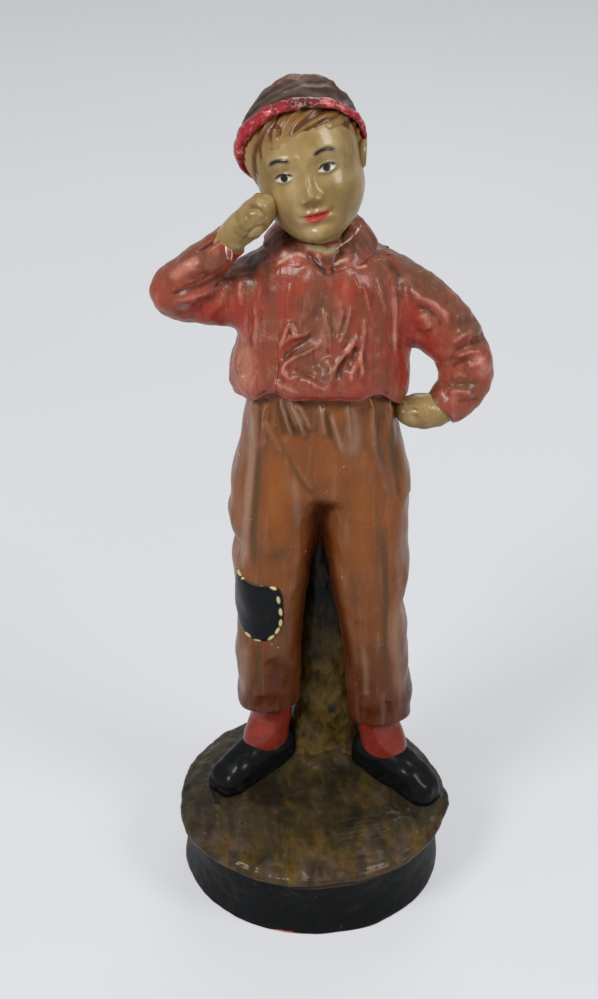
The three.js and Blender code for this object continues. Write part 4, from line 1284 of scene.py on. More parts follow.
def trouser_relief(grid):
    """Height of the trousers' folds, dents and unevenness."""
    drawn = front_folds(grid, TROUSER_LINES) + back_folds(grid, TROUSER_BACK_LINES)
    gathers = 1 + 0.8 * rise_between(grid[..., 2], WAIST - 36, WAIST - 16)
    return sizes().fold_depth * (drawn * gathers + bumps(grid, TROUSER_SPOTS)) + 0.25 * uneven(grid, 18, 51)


def trouser_masks(grid, deep):
    """Wear, the drawn strokes of paint, and painted shade between the legs.

    Drawn crests add painted highlight, and drawn creases painted shade.
    """
    masks = marked_folds(grid, wear_masks(grid, passes=8), TROUSER_LINES)
    for name, strokes in TROUSER_PAINT.items():
        masks[name] = brush_marks(grid, strokes)
    masks["shade"] = np.maximum(masks["shade"], 0.9 * deep)
    below = 1 - rise_between(grid[..., 2], CROTCH - 44, CROTCH - 12)
    masks["deep"] = np.clip(1.6 * deep - 0.6, 0, 1) * below
    return masks


def rolled(rings, turn_in=0.8, depth=7.0, bulge=1.5, count=10):
    """Rings put before the first one: they lead from inside, round a rolled edge, to it."""
    share = np.linspace(0, 1, count, endpoint=False)[:, None, None]
    edge = rings[:1]
    middle = edge.mean(1, keepdims=True)
    outwards = unit(middle - rings[3:4].mean(1, keepdims=True))
    scale = turn_in + (1 - turn_in) * np.sin(share * math.pi / 2)
    along = bulge * np.sin(share * math.pi) - depth * (1 - share) ** 2
    return np.vstack([middle + (edge - middle) * scale + outwards * along, rings])


def leg_shape(which):
    """Level ovals with a rolled hem, joined softly to the other leg, then folded."""
    other = LEG_FIELDS[1 - which]
    grid = ovals(LEG_ROWS[which], turn(200))
    grid[:, :, 2] += 1.3 * np.cos(turn(200) + 0.8) * (1 - np.linspace(0, 1, len(grid))[:, None]) ** 3
    grid = rolled(grid, 0.72)
    grid = joined(grid, [(other, LEG_WEB)], 4.0)
    sunk = 0.9 * rise_between(grid[..., 2], CROTCH - 4, CROTCH + 7)
    grid = push(grid, trouser_relief(grid) - sunk)
    # Closeness to the other leg: painted shade between the legs
    return grid, trouser_masks(grid, closeness(grid, [other], 22.0)), False


def seat_shape():
    """Level ovals, drawn in below the crotch to the depth of the legs or the web between them, then folded.

    The lowest rows are drawn in further, so that they end inside the legs.
    """
    grid = ovals(SEAT_ROWS, turn(330))
    x, y, z = np.moveaxis(grid, -1, 0)
    low = 1 - rise_between(z, CROTCH - 4, CROTCH + 18)
    from_middle = np.abs(x - HIP_X)
    from_leg = np.clip(np.abs(HIP_OUT - from_middle) / LEG_HALF, 0, 0.999)
    web = np.where(from_middle < HIP_OUT, WEB_DEEP * (0.6 + 0.4 * rise_between(z, CROTCH - 14, CROTCH)), 0)
    leg_deep = np.maximum(web, LEG_DEEP * oval_depth(from_leg))
    leg_deep = leg_deep - 0.6 * (1 - rise_between(z, CROTCH - 6, CROTCH + 3))
    leg_deep = leg_deep - 6 * (1 - rise_between(z, CROTCH - 16, CROTCH - 3))
    deep = np.abs(y - HIP_Y)
    grid[..., 1] = HIP_Y + np.sign(y - HIP_Y) * (deep + (np.maximum(leg_deep, 0) - deep) * low)
    grid = push(grid, trouser_relief(grid))
    # Down the middle below the crotch: painted shade
    below = 1 - rise_between(grid[..., 2], CROTCH - 4, CROTCH + 14)
    return grid, trouser_masks(grid, bell(grid[..., 0] - HIP_X, 7) * below), False


# Knee patch: its edge in half sizes, its place, and its stitches as places on the sheet and slants
PATCH_EDGE = (
    *((-1.0, -0.35), (-0.82, -0.78), (-0.4, -0.98), (0.1, -1.0), (0.6, -0.86), (0.95, -0.45)),
    *((1.0, 0.1), (0.94, 0.6), (0.72, 0.84), (0.15, 0.88), (-0.4, 0.9), (-0.68, 1.0)),
    *((-0.86, 1.08), (-1.0, 0.55), (-1.02, 0.1), (-1.0, -0.35)),
)
PATCH_X = RIGHT_ANKLE[0] - 5.3
PATCH_Z = RIGHT_HEM + 70.5
STITCH_LONG = 4.2
STITCH_WIDE = 1.9
STITCHES = (
    *((241, 572, 60), (246, 576, -40), (253, 581, 20), (262, 584, 10), (273, 587, 30), (278, 599, 80)),
    *((280, 611, 85), (280, 622, 95), (277, 630, 120), (271, 637, 140), (258, 640, -170), (249, 634, -140)),
)


def patch_shape():
    """Rings from the middle out to the drawn edge, laid on the leg, and back underneath."""
    size = sizes()
    outline = curve(PATCH_EDGE, 200)[:-1][::-1]
    top_rows = 56
    share = np.concatenate([np.linspace(0.02, 1, top_rows), np.linspace(1.0, 0.05, 8)])[:, None]
    under = (np.arange(len(share)) >= top_rows)[:, None]
    x = PATCH_X + outline[:, 0] * share * size.patch_width / MM / 2
    z = PATCH_Z + outline[:, 1] * share * size.patch_height / MM / 2
    middle_x, middle_y, half, front = rows_at(LEG_ROWS[0], z, 0, 1, 3, 4)
    inside = np.clip(1 - np.abs((x - middle_x) / half) ** (2 / SQUARENESS), 0.02, 1)
    y = middle_y - front * inside ** (SQUARENESS / 2)
    grid = np.stack([x, y, z], -1)
    out = np.stack([(x - middle_x) / half**2, (y - middle_y) / front**2, 0 * z], -1)
    thick = size.patch_thickness / MM
    edge = np.sqrt(np.clip(1 - share**14, 0, 1))
    height = np.where(under, -1.5, thick * (0.25 + 0.75 * edge)) + trouser_relief(grid) * 0.6
    places = on_sheet(grid)
    stitch = np.zeros(grid.shape[:-1])
    for right, down, slant in STITCHES:
        along, across = swung(places[..., 0] - right, places[..., 1] - down, -math.radians(slant))
        reach = np.hypot(along / STITCH_LONG, across / STITCH_WIDE)
        stitch = np.maximum(stitch, 1 - rise_between(reach, 0.7, 1.05))
    stitch = stitch * ~under
    grid = grid + unit(out) * (height + 0.35 * stitch)[..., None]
    masks = wear_masks(grid, passes=6)
    masks["stitches"] = stitch
    return grid, masks, False


# Shirt, braces and collar

SHIRT_ROWS = curve(
    [
        (2.7, 11, SHIRT_HEM, 42.5, 37, 32),
        (2.7, 11, SHIRT_HEM + 10.3, 44.5, 39, 33),
        (4, 11, SHIRT_HEM + 30.1, 41.25, 34, 30),
        (4, 11, SHIRT_HEM + 51.6, 38, 29, 29),
        (4, 11, SHIRT_HEM + 65.4, 37, 27, 27),
        (3, 11, SHIRT_HEM + 75.7, 28.75, 24, 22),
        (2, 11, NECK, 15.5, 15.5, 15.5),
    ],
    180,
)

# Joints of the arms
RIGHT_ELBOW = np.array((-67.0, 8.0, SHOULDER - 4))
RIGHT_WRIST = np.array((-39.5, -6.0, SHOULDER + 30))
LEFT_ELBOW = np.array((75.5, 12.0, SHOULDER - 39))
LEFT_WRIST = np.array((62.5, 3.0, SHOULDER - 62.5))


def stops(joint, *rows):
    """Stops of an arm: places counted from a joint, each with a half width and a half depth if it differs."""
    return [(*(joint + row[:3]), row[3], row[-1]) for row in rows]


# Where each brace starts above the hem and ends at the collar, in x, and whether it lies on the front
RIGHT_BRACE_FOOT = -21.5
LEFT_BRACE_FOOT = 32.5
RIGHT_BRACE_TOP = -18.95
LEFT_BRACE_TOP = 29.65
BRACES = {
    "right_front_brace": (RIGHT_BRACE_FOOT, RIGHT_BRACE_TOP, True),
    "left_front_brace": (LEFT_BRACE_FOOT, LEFT_BRACE_TOP, True),
    "right_back_brace": (-5.0, RIGHT_BRACE_TOP, False),
    "left_back_brace": (13.0, LEFT_BRACE_TOP, False),
}

# Reach of the rounding where a sleeve meets the shirt, the sleeve's other piece, or its own form
ARMHOLE_REACH = 11.0
ELBOW_REACH = 3.0
OWN_REACH = 1.0
CHEST = np.array((4.0, 11.0, SHOULDER))
RIGHT_UPPER = [
    *stops(CHEST, (-24, 1, -1, 15.4)),
    *stops(RIGHT_ELBOW, (23, 2, -1, 14), (9, 2, -2, 12.6), (0, 0, 0, 11.2)),
    *stops(RIGHT_ELBOW, (-7.9, 0, 1, 7.9), (-11, -0.3, 1.4, 1.2)),
]
RIGHT_LOWER = [
    *stops(RIGHT_ELBOW, (-8.5, -1.2, -3.5, 1.2), (-6.4, -2, -1.5, 8.1)),
    *stops(RIGHT_ELBOW, (-1, -4, 4, 11.5), (10, -8, 15, 11)),
    *stops(RIGHT_WRIST, (0, 0, 0, 8.0)),
]
LEFT_UPPER = [
    *stops(CHEST, (22, 0, 1, 16)),
    *stops(LEFT_ELBOW, (-31, 1, 33, 15.8), (-14, 1, 18, 15.2)),
    *stops(LEFT_ELBOW, (-6, 0.5, 8, 14), (-2, 0, 2, 9), (0, 0, -1, 1.2)),
]
LEFT_LOWER = [
    *stops(LEFT_ELBOW, (-3, 0, 8, 11.4), (0, 0, -4, 13.3), (-2, -4, -15, 12.1)),
    *stops(LEFT_WRIST, (0, 0, 0, 9.5)),
]

# A gentler path inside the left lower sleeve, whose surface is then drawn out to the full form
LEFT_LOWER_CORE = [
    *stops(LEFT_ELBOW, (-5, 0, 13, 4.0), (-3, 0, 8, 10.8), (-1.8, -1, -3, 12), (-4, -4, -15, 11.2)),
    *stops(LEFT_WRIST, (0, 0, 0, 9.5)),
]

# Forms that the neighbours are joined to, without the sleeves' ends that lie inside the elbows
SHIRT_FIELD = oval_field(SHIRT_ROWS)
SLEEVE_FIELDS = {
    "right_upper_sleeve": tube_field(RIGHT_UPPER[:4]),
    "right_lower_sleeve": tube_field(RIGHT_LOWER[2:]),
    "left_upper_sleeve": tube_field([*LEFT_UPPER[:3], *stops(LEFT_ELBOW, (0, 0, 0, 12.9))]),
    "left_lower_sleeve": tube_field(LEFT_LOWER),
}
SHIRT_SLEEVES = [SLEEVE_FIELDS["right_upper_sleeve"], SLEEVE_FIELDS["left_upper_sleeve"]]

SHIRT_LINES = [
    (1.9, 1.5, ((279, 356), (281, 345), (285, 334), (290, 324), (295, 334), (298, 341))),
    (2, 1.2, ((280, 348), (290, 338), (303, 335), (313, 330))),
    (3.6, -1.5, ((280, 360), (290, 353), (304, 342), (320, 331))),
    (1.9, 1.6, ((288, 378), (283, 372), (286, 364), (293, 358), (304, 354), (318, 346), (329, 335))),
    (1.8, 1, ((284, 369), (288, 378), (297, 376))),
    (1.7, 1.4, ((322, 306), (325, 318), (329, 332), (331, 341))),
    (1.7, 1.3, ((341, 304), (341, 318), (338, 330), (333, 343))),
    (1.8, 1.3, ((350, 304), (348, 318), (343, 334), (335, 346))),
    (2.8, -1.2, ((336, 306), (336, 322), (333, 340))),
    (2.6, -1, ((345, 312), (342, 328), (338, 340))),
    (1.8, 1.5, ((362, 318), (364, 330), (362, 344), (360, 358), (362, 372), (361, 382))),
    (2.1, 1.9, ((356, 330), (352, 344), (345, 355), (337, 365), (331, 376), (328, 389))),
    (1.9, 1.3, ((361, 352), (356, 364), (351, 375), (353, 385))),
    (3.6, -1.6, ((330, 348), (321, 360), (312, 371))),
    (3.2, -1.4, ((349, 352), (341, 366), (336, 380))),
    (2.8, -1.2, ((357, 345), (353, 358), (347, 372))),
    (1.9, 1.3, ((302, 376), (312, 383), (322, 388), (330, 386))),
    (1.8, 1, ((318, 362), (327, 362), (330, 371), (322, 378))),
    (3, -1.2, ((292, 368), (303, 373), (313, 379))),
    (1.4, 1.1, ((362, 282), (366, 298), (370, 316))),
    (1.6, 1.1, ((376, 284), (382, 302), (386, 320))),
    (1.5, 0.7, ((352, 274), (357, 286), (360, 296))),
    (2, 0.9, ((300, 324), (309, 314), (315, 298))),
    (2.6, -0.8, ((312, 322), (320, 310), (322, 296))),
    (1.8, 1, ((290, 282), (288, 300), (286, 318))),
    (1.5, 1.2, ((248, 308), (247, 328), (246, 348))),
    (1.5, 1.3, ((255, 300), (256, 325), (257, 350))),
    (2.2, -1, ((251, 304), (251, 330), (250, 354))),
    (1.5, 1, ((262, 300), (264, 325), (263, 350))),
    (2, 1.1, ((240, 342), (238, 365), (243, 388))),
    (2, -0.9, ((246, 350), (245, 372), (249, 390))),
    (1.6, 0.9, ((253, 352), (255, 370), (252, 388))),
    (1.6, 1.3, ((393, 284), (396, 310), (395, 341), (396, 376))),
    (2.2, -1.1, ((400, 296), (400, 340), (400, 384))),
    (1.6, 1, ((405, 280), (406, 298), (404, 322))),
    (2, 1, ((404, 340), (406, 368), (402, 394))),
    (2.4, 1, ((270, 380), (285, 388), (302, 394))),
    (2.2, -1.3, ((308, 252), (318, 264), (329, 277))),
    (2.2, -1.3, ((347, 249), (338, 262), (329, 277))),
]
SLEEVE_LINES = [
    (3, 1.7, ((408, 286), (419, 297), (434, 304), (444, 314), (449, 332))),
    (2.2, 1, ((404, 282), (406, 297), (410, 314))),
    (2.6, -1.2, ((414, 305), (424, 309), (437, 317), (441, 330))),
    (4.4, 1.5, ((421, 312), (426, 320), (431, 330))),
    (2.4, -1, ((412, 318), (418, 332), (428, 341))),
    (2.4, 1.2, ((455, 322), (463, 314), (472, 312))),
    (2.2, -0.9, ((458, 328), (468, 321), (480, 321))),
    (2.6, 1.5, ((450, 345), (464, 335), (481, 330))),
    (2.4, -1.2, ((452, 352), (467, 345), (488, 337))),
    (2.2, 1.2, ((455, 358), (470, 352), (484, 352))),
    (2, 0.9, ((478, 345), (486, 352), (490, 362))),
    (2.8, -1.1, ((450, 368), (460, 362), (478, 357))),
    (3.2, 1.3, ((466, 366), (478, 364), (488, 372))),
    (2.4, 0.9, ((450, 379), (459, 375), (469, 376))),
    (2.6, -1.2, ((452, 386), (464, 384), (482, 382))),
    (2.4, 1.2, ((447, 394), (460, 391), (476, 395))),
    (2.4, -0.8, ((452, 402), (468, 400), (482, 398))),
    (1, -1.3, ((196, 253), (210, 244), (228, 231))),
    (2.4, 0.9, ((204, 255), (214, 248), (226, 239))),
    (2.6, -1.8, ((168, 294), (186, 290), (206, 283), (226, 270))),
    (3, 1.6, ((172, 301), (192, 298), (212, 290), (230, 277))),
    (3.4, 1, ((178, 262), (190, 268), (204, 268))),
    (2.6, -0.9, ((184, 276), (198, 278), (212, 273))),
    (3, 1, ((226, 282), (222, 297), (219, 311))),
    (3, -0.9, ((232, 280), (229, 297), (227, 312))),
    (2.6, 0.9, ((240, 278), (241, 294), (240, 310))),
    (3, 0.8, ((196, 300), (206, 308), (220, 314))),
    (1.4, 0.9, ((226, 245), (229, 254), (231, 262))),
]
SHIRT_PAINT = {
    "red": [
        (13, 1, ((238, 294), (234, 314), (222, 328))),
        (9, 1, ((184, 302), (208, 312), (232, 318))),
        (8, 1, ((408, 296), (412, 326), (405, 352))),
        (10, 1.1, ((412, 320), (430, 344), (442, 368))),
        (6, 1, ((395, 344), (400, 366), (401, 392))),
        (4, 1, ((292, 394), (340, 401), (380, 390))),
        (4, 1, ((383, 338), (384, 360), (384, 380))),
        (5, 0.8, ((270, 274), (288, 263), (304, 258))),
    ],
    "dust": [
        (16, 1, ((398, 262), (424, 274), (448, 298))),
        (24, 1, ((306, 286), (320, 318), (338, 350))),
        (12, 0.8, ((296, 350), (312, 366), (340, 380))),
        (13, 1, ((446, 316), (474, 326), (492, 342))),
        (9, 0.8, ((448, 384), (466, 385), (486, 386))),
        (9, 1, ((346, 254), (366, 243), (384, 252))),
        (12, 0.8, ((192, 264), (212, 262), (228, 254))),
        (8, 0.7, ((360, 288), (362, 304), (366, 320))),
    ],
    # Pale strokes: painted highlights and reflections on the shirt, sleeves and collar
    "pale": [
        (9, 0.9, ((244, 340), (246, 368), (247, 394))),
        (5.5, 1, ((168, 280), (184, 268), (202, 256))),
        (2.6, 0.9, ((393, 292), (395, 320), (396, 346))),
        (7, 0.8, ((472, 350), (484, 366), (478, 380))),
        (6, 0.7, ((278, 254), (292, 256), (304, 264))),
    ],
    # Dark strokes of painted shade: under the fist, by the braces, in the cuff's slit and in the neck's notch
    "soot": [
        (8, 1, ((245, 236), (252, 258), (251, 290))),
        (4.5, 0.7, ((268, 256), (268, 280), (268, 306))),
        (5, 0.7, ((386, 256), (399, 280), (398, 306))),
        (0.9, 1.2, ((194, 254), (212, 243), (230, 230))),
        (3.2, 0.9, ((306, 249), (317, 262), (329, 278))),
        (3.2, 0.9, ((346, 248), (338, 260), (328, 278))),
        (4.5, 0.7, ((320, 256), (328, 262), (335, 256))),
        (1.8, 0.4, ((263, 262), (262, 320), (264, 386))),
        (1.8, 0.4, ((390, 264), (391, 320), (391, 388))),
    ],
    # Pale strokes of painted highlight along the collar's rolled edges
    "edge": [
        (1.5, 1.3, ((274, 267), (285, 259), (297, 254), (308, 258))),
        (1.4, 1.2, ((333, 266), (341, 261), (351, 259))),
        (1.6, 1.2, ((352, 266), (360, 267), (368, 265))),
    ],
    "bare": [
        (3.4, 1.2, ((302, 245), (317, 248), (328, 251), (339, 246))),
    ],
    "chips": [
        (1.4, 1, ((332, 252), (342, 245), (351, 238), (358, 230), (363, 221))),
        (0.9, 1.1, ((227, 238), (226, 250), (229, 263))),
        (0.9, 1.1, ((230, 244), (232, 254), (230, 264))),
        (1.2, 0.9, ((219, 224), (230, 234), (243, 248))),
    ],
}
SHIRT_BACK_LINES = [
    (3.6, 1.5, ((-20, 288), (-23, 312), (-18, 334))),
    (3.6, -1.3, ((-11, 288), (-13, 308), (-10, 326))),
    (3.4, 1.4, ((2, 288), (3, 308), (1, 328))),
    (3.6, -1.2, ((16, 288), (18, 310), (15, 326))),
    (3.6, 1.5, ((28, 288), (31, 312), (27, 334))),
    (4, 1.2, ((-30, 340), (-14, 346), (-2, 342))),
    (4, 1.2, ((38, 340), (22, 346), (10, 342))),
    (3, -1.2, ((-36, 325), (-32, 338), (-30, 352))),
    (3, -1.2, ((44, 325), (40, 338), (36, 350))),
    (3, 1.3, ((-50, 338), (-58, 332), (-68, 332))),
    (3, -1.2, ((-48, 345), (-58, 340), (-70, 341))),
    (3, 1.4, ((52, 338), (64, 330), (74, 318))),
    (3, -1.3, ((56, 328), (66, 318), (80, 308))),
    (3, 1.3, ((62, 318), (72, 308), (86, 300))),
    (3, -1.2, ((66, 302), (76, 296), (86, 288))),
]


def shirt_relief(grid, lines, normal=None):
    """Height of the shirt's folds and unevenness."""
    drawn = front_folds(grid, lines, normal) + back_folds(grid, SHIRT_BACK_LINES, normal)
    return sizes().fold_depth * drawn + 0.3 * uneven(grid, 17, 61) + 0.12 * uneven(grid, 6, 62)


def shirt_masks(grid, lines, sheltered=(), passes=8):
    """Wear and the drawn strokes of paint, with red in the places that other pieces shelter.

    Drawn crests add painted highlight, and drawn creases painted shade.
    """
    masks = marked_folds(grid, wear_masks(grid, passes=passes), lines)
    for name, strokes in SHIRT_PAINT.items():
        masks[name] = brush_marks(grid, strokes)
    low = 1 - rise_between(grid[..., 2], SHOULDER - 10, SHOULDER + 4)
    masks["red"] = np.maximum(masks["red"], closeness(grid, sheltered, 14.0) * low)
    return masks


def shirt_surface(around):
    """Level ovals from hem to neck; the front of the hem is drawn up."""
    angle = turn(around)
    grid = ovals(SHIRT_ROWS, angle)
    share = np.linspace(0, 1, len(grid))[:, None]
    front = np.maximum(0, -signed_power(np.sin(angle), SQUARENESS))
    x = grid[..., 0]
    pulled = 5 * (bell(x - RIGHT_BRACE_FOOT, 8) + bell(x - LEFT_BRACE_FOOT, 8)) * (front > 0)
    side = 6 * rise_between(-x, 26, 40)
    grid[..., 2] += (16 * front**2 + pulled + side) * (1 - share) ** 2
    return grid


def shirt_shape():
    """The blouse with its rolled hem, joined softly to the sleeves, then folded."""
    grid = rolled(shirt_surface(360), turn_in=0.8, depth=8.0, bulge=1.8, count=12)
    grid = joined(grid, [(field, ARMHOLE_REACH) for field in SHIRT_SLEEVES])
    grid = push(grid, shirt_relief(grid, SHIRT_LINES))
    return grid, shirt_masks(grid, SHIRT_LINES, SHIRT_SLEEVES), False


def sleeve_shape(path, neighbours, cuffed):
    """A tube along the arm, joined softly to its neighbours except at the end inside the elbow, then folded.

    A cuffed sleeve lies a little lower near the elbow and ends in a rolled cuff.
    """
    plain = tube(path, 150, 150)
    share = np.linspace(0, 1, len(plain))[:, None, None]
    inside = 1 - rise_between(share, 0.05, 0.22) if cuffed else rise_between(share, 0.58, 0.68)
    grid = plain + (joined(plain, neighbours) - plain) * (1 - inside)
    if cuffed:
        sunk = 0.4 * (1 - rise_between(share[..., 0], 0.3, 0.5))
        grid = push(grid, -sunk * np.ones(grid.shape[1]))
        grid = rolled(grid[::-1], turn_in=0.7, depth=5.0, bulge=1.0)[::-1]
    grid = push(grid, shirt_relief(grid, SLEEVE_LINES))
    return grid, shirt_masks(grid, SLEEVE_LINES, [SHIRT_FIELD]), False


def depth_at(rows, x, z, front):
    """The y of a stack of ovals at x and z, on its front or its back, and the way out of it there."""
    middle_x, middle_y, half, deep = rows_at(rows, z, 0, 1, 3, 4 if front else 5)
    share = np.clip((x - middle_x) / half, -0.99, 0.99)
    reach = deep * oval_depth(np.abs(share))
    towards = -1 if front else 1
    out = unit(np.stack([share / half, towards * reach / deep**2, 0 * z + 0 * x], -1))
    return middle_y + towards * reach, out


def brace_shape(foot_x, top_x, front):
    """A flat rounded profile carried up over the trousers' top and the shirt to the collar."""
    size = sizes()
    half = size.brace_width / MM / 2
    thick = size.brace_thickness / MM * (1 if front else 1.8)
    foot = SHIRT_HEM + (9 if front else 2)
    z = np.linspace(foot, NECK - 9, 150)[:, None]
    share = (z - z[0]) / (z[-1] - z[0])
    angle = turn(40)
    end = np.sqrt(np.clip(1 - (1 - np.clip(share / 0.03, 0, 1)) ** 2, 0.05, 1))
    across = signed_power(np.cos(angle), 0.75) * half * end * (-1 if front else 1)
    x = foot_x + (top_x - foot_x) * share + across
    z = z + 0 * x
    lift = 24 * (1 - np.clip((z - SHIRT_HEM) / SHIRT_LONG, 0, 1)) ** 2 if front else 0
    shirt_y, shirt_out = depth_at(SHIRT_ROWS, x, z - lift, front)
    seat_y, seat_out = depth_at(SEAT_ROWS, x, z, front)
    over = rise_between(z, foot + 6, foot + 9)
    y = seat_y + (shirt_y - seat_y) * over
    base = np.stack([x, y, z], -1)
    out = unit(seat_out + (shirt_out - seat_out) * over[..., None])
    base = joined(base, [(field, ARMHOLE_REACH) for field in SHIRT_SLEEVES], normal=out)
    fold = shirt_relief(base, SHIRT_LINES, out) * over
    shell = np.where(np.sin(angle) > 0, thick * signed_power(np.sin(angle), 0.85), 1.6 * np.sin(angle))
    grid = base + out * (shell + fold)[..., None]
    masks = shirt_masks(grid, SHIRT_LINES, passes=5)
    masks["strip"] = (1 - np.abs(np.cos(angle)) ** 5) * np.ones_like(share)
    return grid, masks, False


COLLAR_MIDDLE = np.array((2.0, 11.0))
COLLAR_REACH = 9.0
NECK_RADIUS = 15.5


def collar_shape(side):
    """A leaf's thin profile, from neck over the fold to its edge, carried round from throat to nape.

    The front edges of the two leaves stand apart over the notch of the neck opening.
    """
    share = np.linspace(0, 1, 170)
    stand = 4.5 * bell(share - 0.4, 0.2) * (side > 0)
    rise = 11 * np.sin(share * math.pi / 2) ** 0.8 - 5 + stand
    reach = (1.15 if side > 0 else 1.0) * COLLAR_REACH
    wing = reach * (0.72 + 0.4 * np.sin(np.minimum(1, share * 4) * math.pi / 2))
    fall = 0.66 * wing + 0.8 * stand
    corners = [
        (-1, rise - 2.2),
        (0.45 * wing, rise - 0.42 * fall - 2.2),
        (wing - 0.6, rise - fall - 2.0),
        (wing + 0.5, rise - fall - 0.8),
        (wing + 0.2, rise - fall + 0.5),
        (0.5 * wing + 0.8, rise - 0.36 * fall + 1.0),
        (1.4, rise + 1.3),
        (-0.4, rise + 0.7),
    ]
    profile = np.stack([np.stack(np.broadcast_arrays(out, up), -1) for out, up in corners], 1)
    closed = np.concatenate([profile, profile[:, :1]], 1)
    smooth = np.stack([curve(closed[:, :, k].T, 57)[:-1].T for k in range(2)], -1)
    if side > 0:
        smooth = smooth[:, ::-1]
    inwards = 1 - np.clip(smooth[..., 0] / wing[:, None], 0, 1)
    start = np.radians(15 + 5 * inwards)
    angle = start + (math.radians(178) - start) * share[:, None]
    radius = NECK_RADIUS + smooth[..., 0]
    x = COLLAR_MIDDLE[0] + side * np.sin(angle) * radius
    y = COLLAR_MIDDLE[1] - np.cos(angle) * radius
    grid = np.stack([x, y, NECK + smooth[..., 1]], -1)
    taper = rise_between(np.minimum(share, 1 - share), -0.005, 0.02)[:, None, None]
    middle = grid.mean(1, keepdims=True)
    grid = middle + (grid - middle) * (0.7 + 0.3 * taper)
    grid = push(grid, 0.3 * uneven(grid, 12, 71) + 0.12 * uneven(grid, 5, 72))
    return grid, shirt_masks(grid, [], passes=8), False


# Hands

FIST_STOPS = [
    *stops(RIGHT_WRIST, (-4, 1.5, -5, 7.4), (4, -3, 5.5, 7.5), (9.6, -5, 11, 8.0, 9.0)),
    *stops(RIGHT_WRIST, (14.6, -6, 17, 7.4, 8.6), (17.2, -6, 22.5, 4.8, 5.6), (17.8, -6, 24.6, 1.0, 1.2)),
]
FIST_LINES = [
    (1.2, -1.5, ((243, 208), (250, 207), (256, 208), (261, 211), (265, 215), (267, 220))),
    (3.2, 0.5, ((246, 213), (253, 213), (259, 216), (262, 220))),
    (2.6, 0.4, ((247, 203), (254, 202), (261, 205), (266, 210))),
    (1.4, -1.1, ((240, 243), (247, 238), (250, 233), (255, 229), (262, 227), (268, 224))),
    (2.2, 0.6, ((237, 229), (243, 222), (249, 219))),
]
HIP_HAND_STOPS = [
    *stops(LEFT_WRIST, (6, 2, 2, 6.9), (-2, -1, -0.5, 8.2, 8.4), (-10, -2, -0.5, 8.9, 8.6)),
    *stops(LEFT_WRIST, (-17, -1.5, -0.5, 7.4, 6.8), (-21.5, -1, -0.5, 4.2, 3.8), (-23.2, -1, -0.5, 0.9)),
]
HIP_HAND_LINES = [
    (1.5, -0.7, ((404, 404), (411, 402), (419, 405))),
    (1.5, -0.7, ((401, 411), (410, 409), (420, 411))),
    (1.5, -0.7, ((403, 419), (411, 417), (420, 418))),
    (2.2, 0.6, ((424, 400), (428, 408), (427, 418))),
    (1.6, 0.5, ((412, 403), (416, 405), (414, 408))),
]


def hand_shape(path, lines, seed):
    """A tube from the cuff to a rounded end, with the lines of its fingers and palm drawn on it."""
    grid = tube(path, 130, 120)
    grid = push(grid, front_folds(grid, lines) + 0.12 * uneven(grid, 6, seed))
    return grid, wear_masks(grid, passes=8), False


# Head, hair and cap, in the head's own frame and then tilted


def tilted(points):
    """Points of the head's frame turned by its pitch and roll, and set on the neck."""
    x, y, z = np.moveaxis(points, -1, 0)
    y, z = swung(y, z, HEAD_PITCH)
    z, x = swung(z, x, HEAD_ROLL)
    return np.stack([x, y, z], -1) + HEAD_MIDDLE


HEAD_CHIN = 37.5
HEAD_CROWN = 31.0
HEAD_HALF = 25.5
HEAD_FRONT = 26.0
HEAD_BACK = 27.0
SKULL_ROWS = curve(
    [
        (0, 0, z, HEAD_HALF * half, HEAD_FRONT * front, HEAD_BACK * back)
        for z, half, front, back in (
            (-1.045 * HEAD_CHIN, 0.1, 0.5, 0.02),
            (-1.0 * HEAD_CHIN, 0.34, 0.76, 0.12),
            (-0.86 * HEAD_CHIN, 0.66, 0.97, 0.35),
            (-0.55 * HEAD_CHIN, 0.92, 1.0, 0.7),
            (-0.2 * HEAD_CHIN, 0.97, 1.0, 0.95),
            (0.15 * HEAD_CROWN, 1.0, 0.98, 1.0),
            (0.5 * HEAD_CROWN, 0.87, 0.88, 0.9),
            (0.8 * HEAD_CROWN, 0.58, 0.6, 0.64),
            (1.0 * HEAD_CROWN, 0.12, 0.12, 0.12),
        )
    ],
    230,
)

# The face's own measures, on even fifths and thirds of the head
EYE_X = 10.2
EYE_Z = -4.0
EYE_HALF = 4.8
LID_RISE = 2.2
LID_FALL = 1.7
BROW_Z = 3.4
NOSE_Z = -14.2
MOUTH_Z = -23.2
MOUTH_HALF = 6.6
MOUTH_BOW = 0.35
CHIN_Z = -32.5
FACE_REACH = 40.0


def mirrored(x, z, reach_x, reach_z, height):
    """A bell on each side of the face."""
    return [((s * x, -HEAD_FRONT, z), (reach_x, FACE_REACH, reach_z), height) for s in (-1, 1)]


def centred(z, reach_x, reach_z, height):
    """A bell on the face's middle line."""
    return [((0, -HEAD_FRONT, z), (reach_x, FACE_REACH, reach_z), height)]


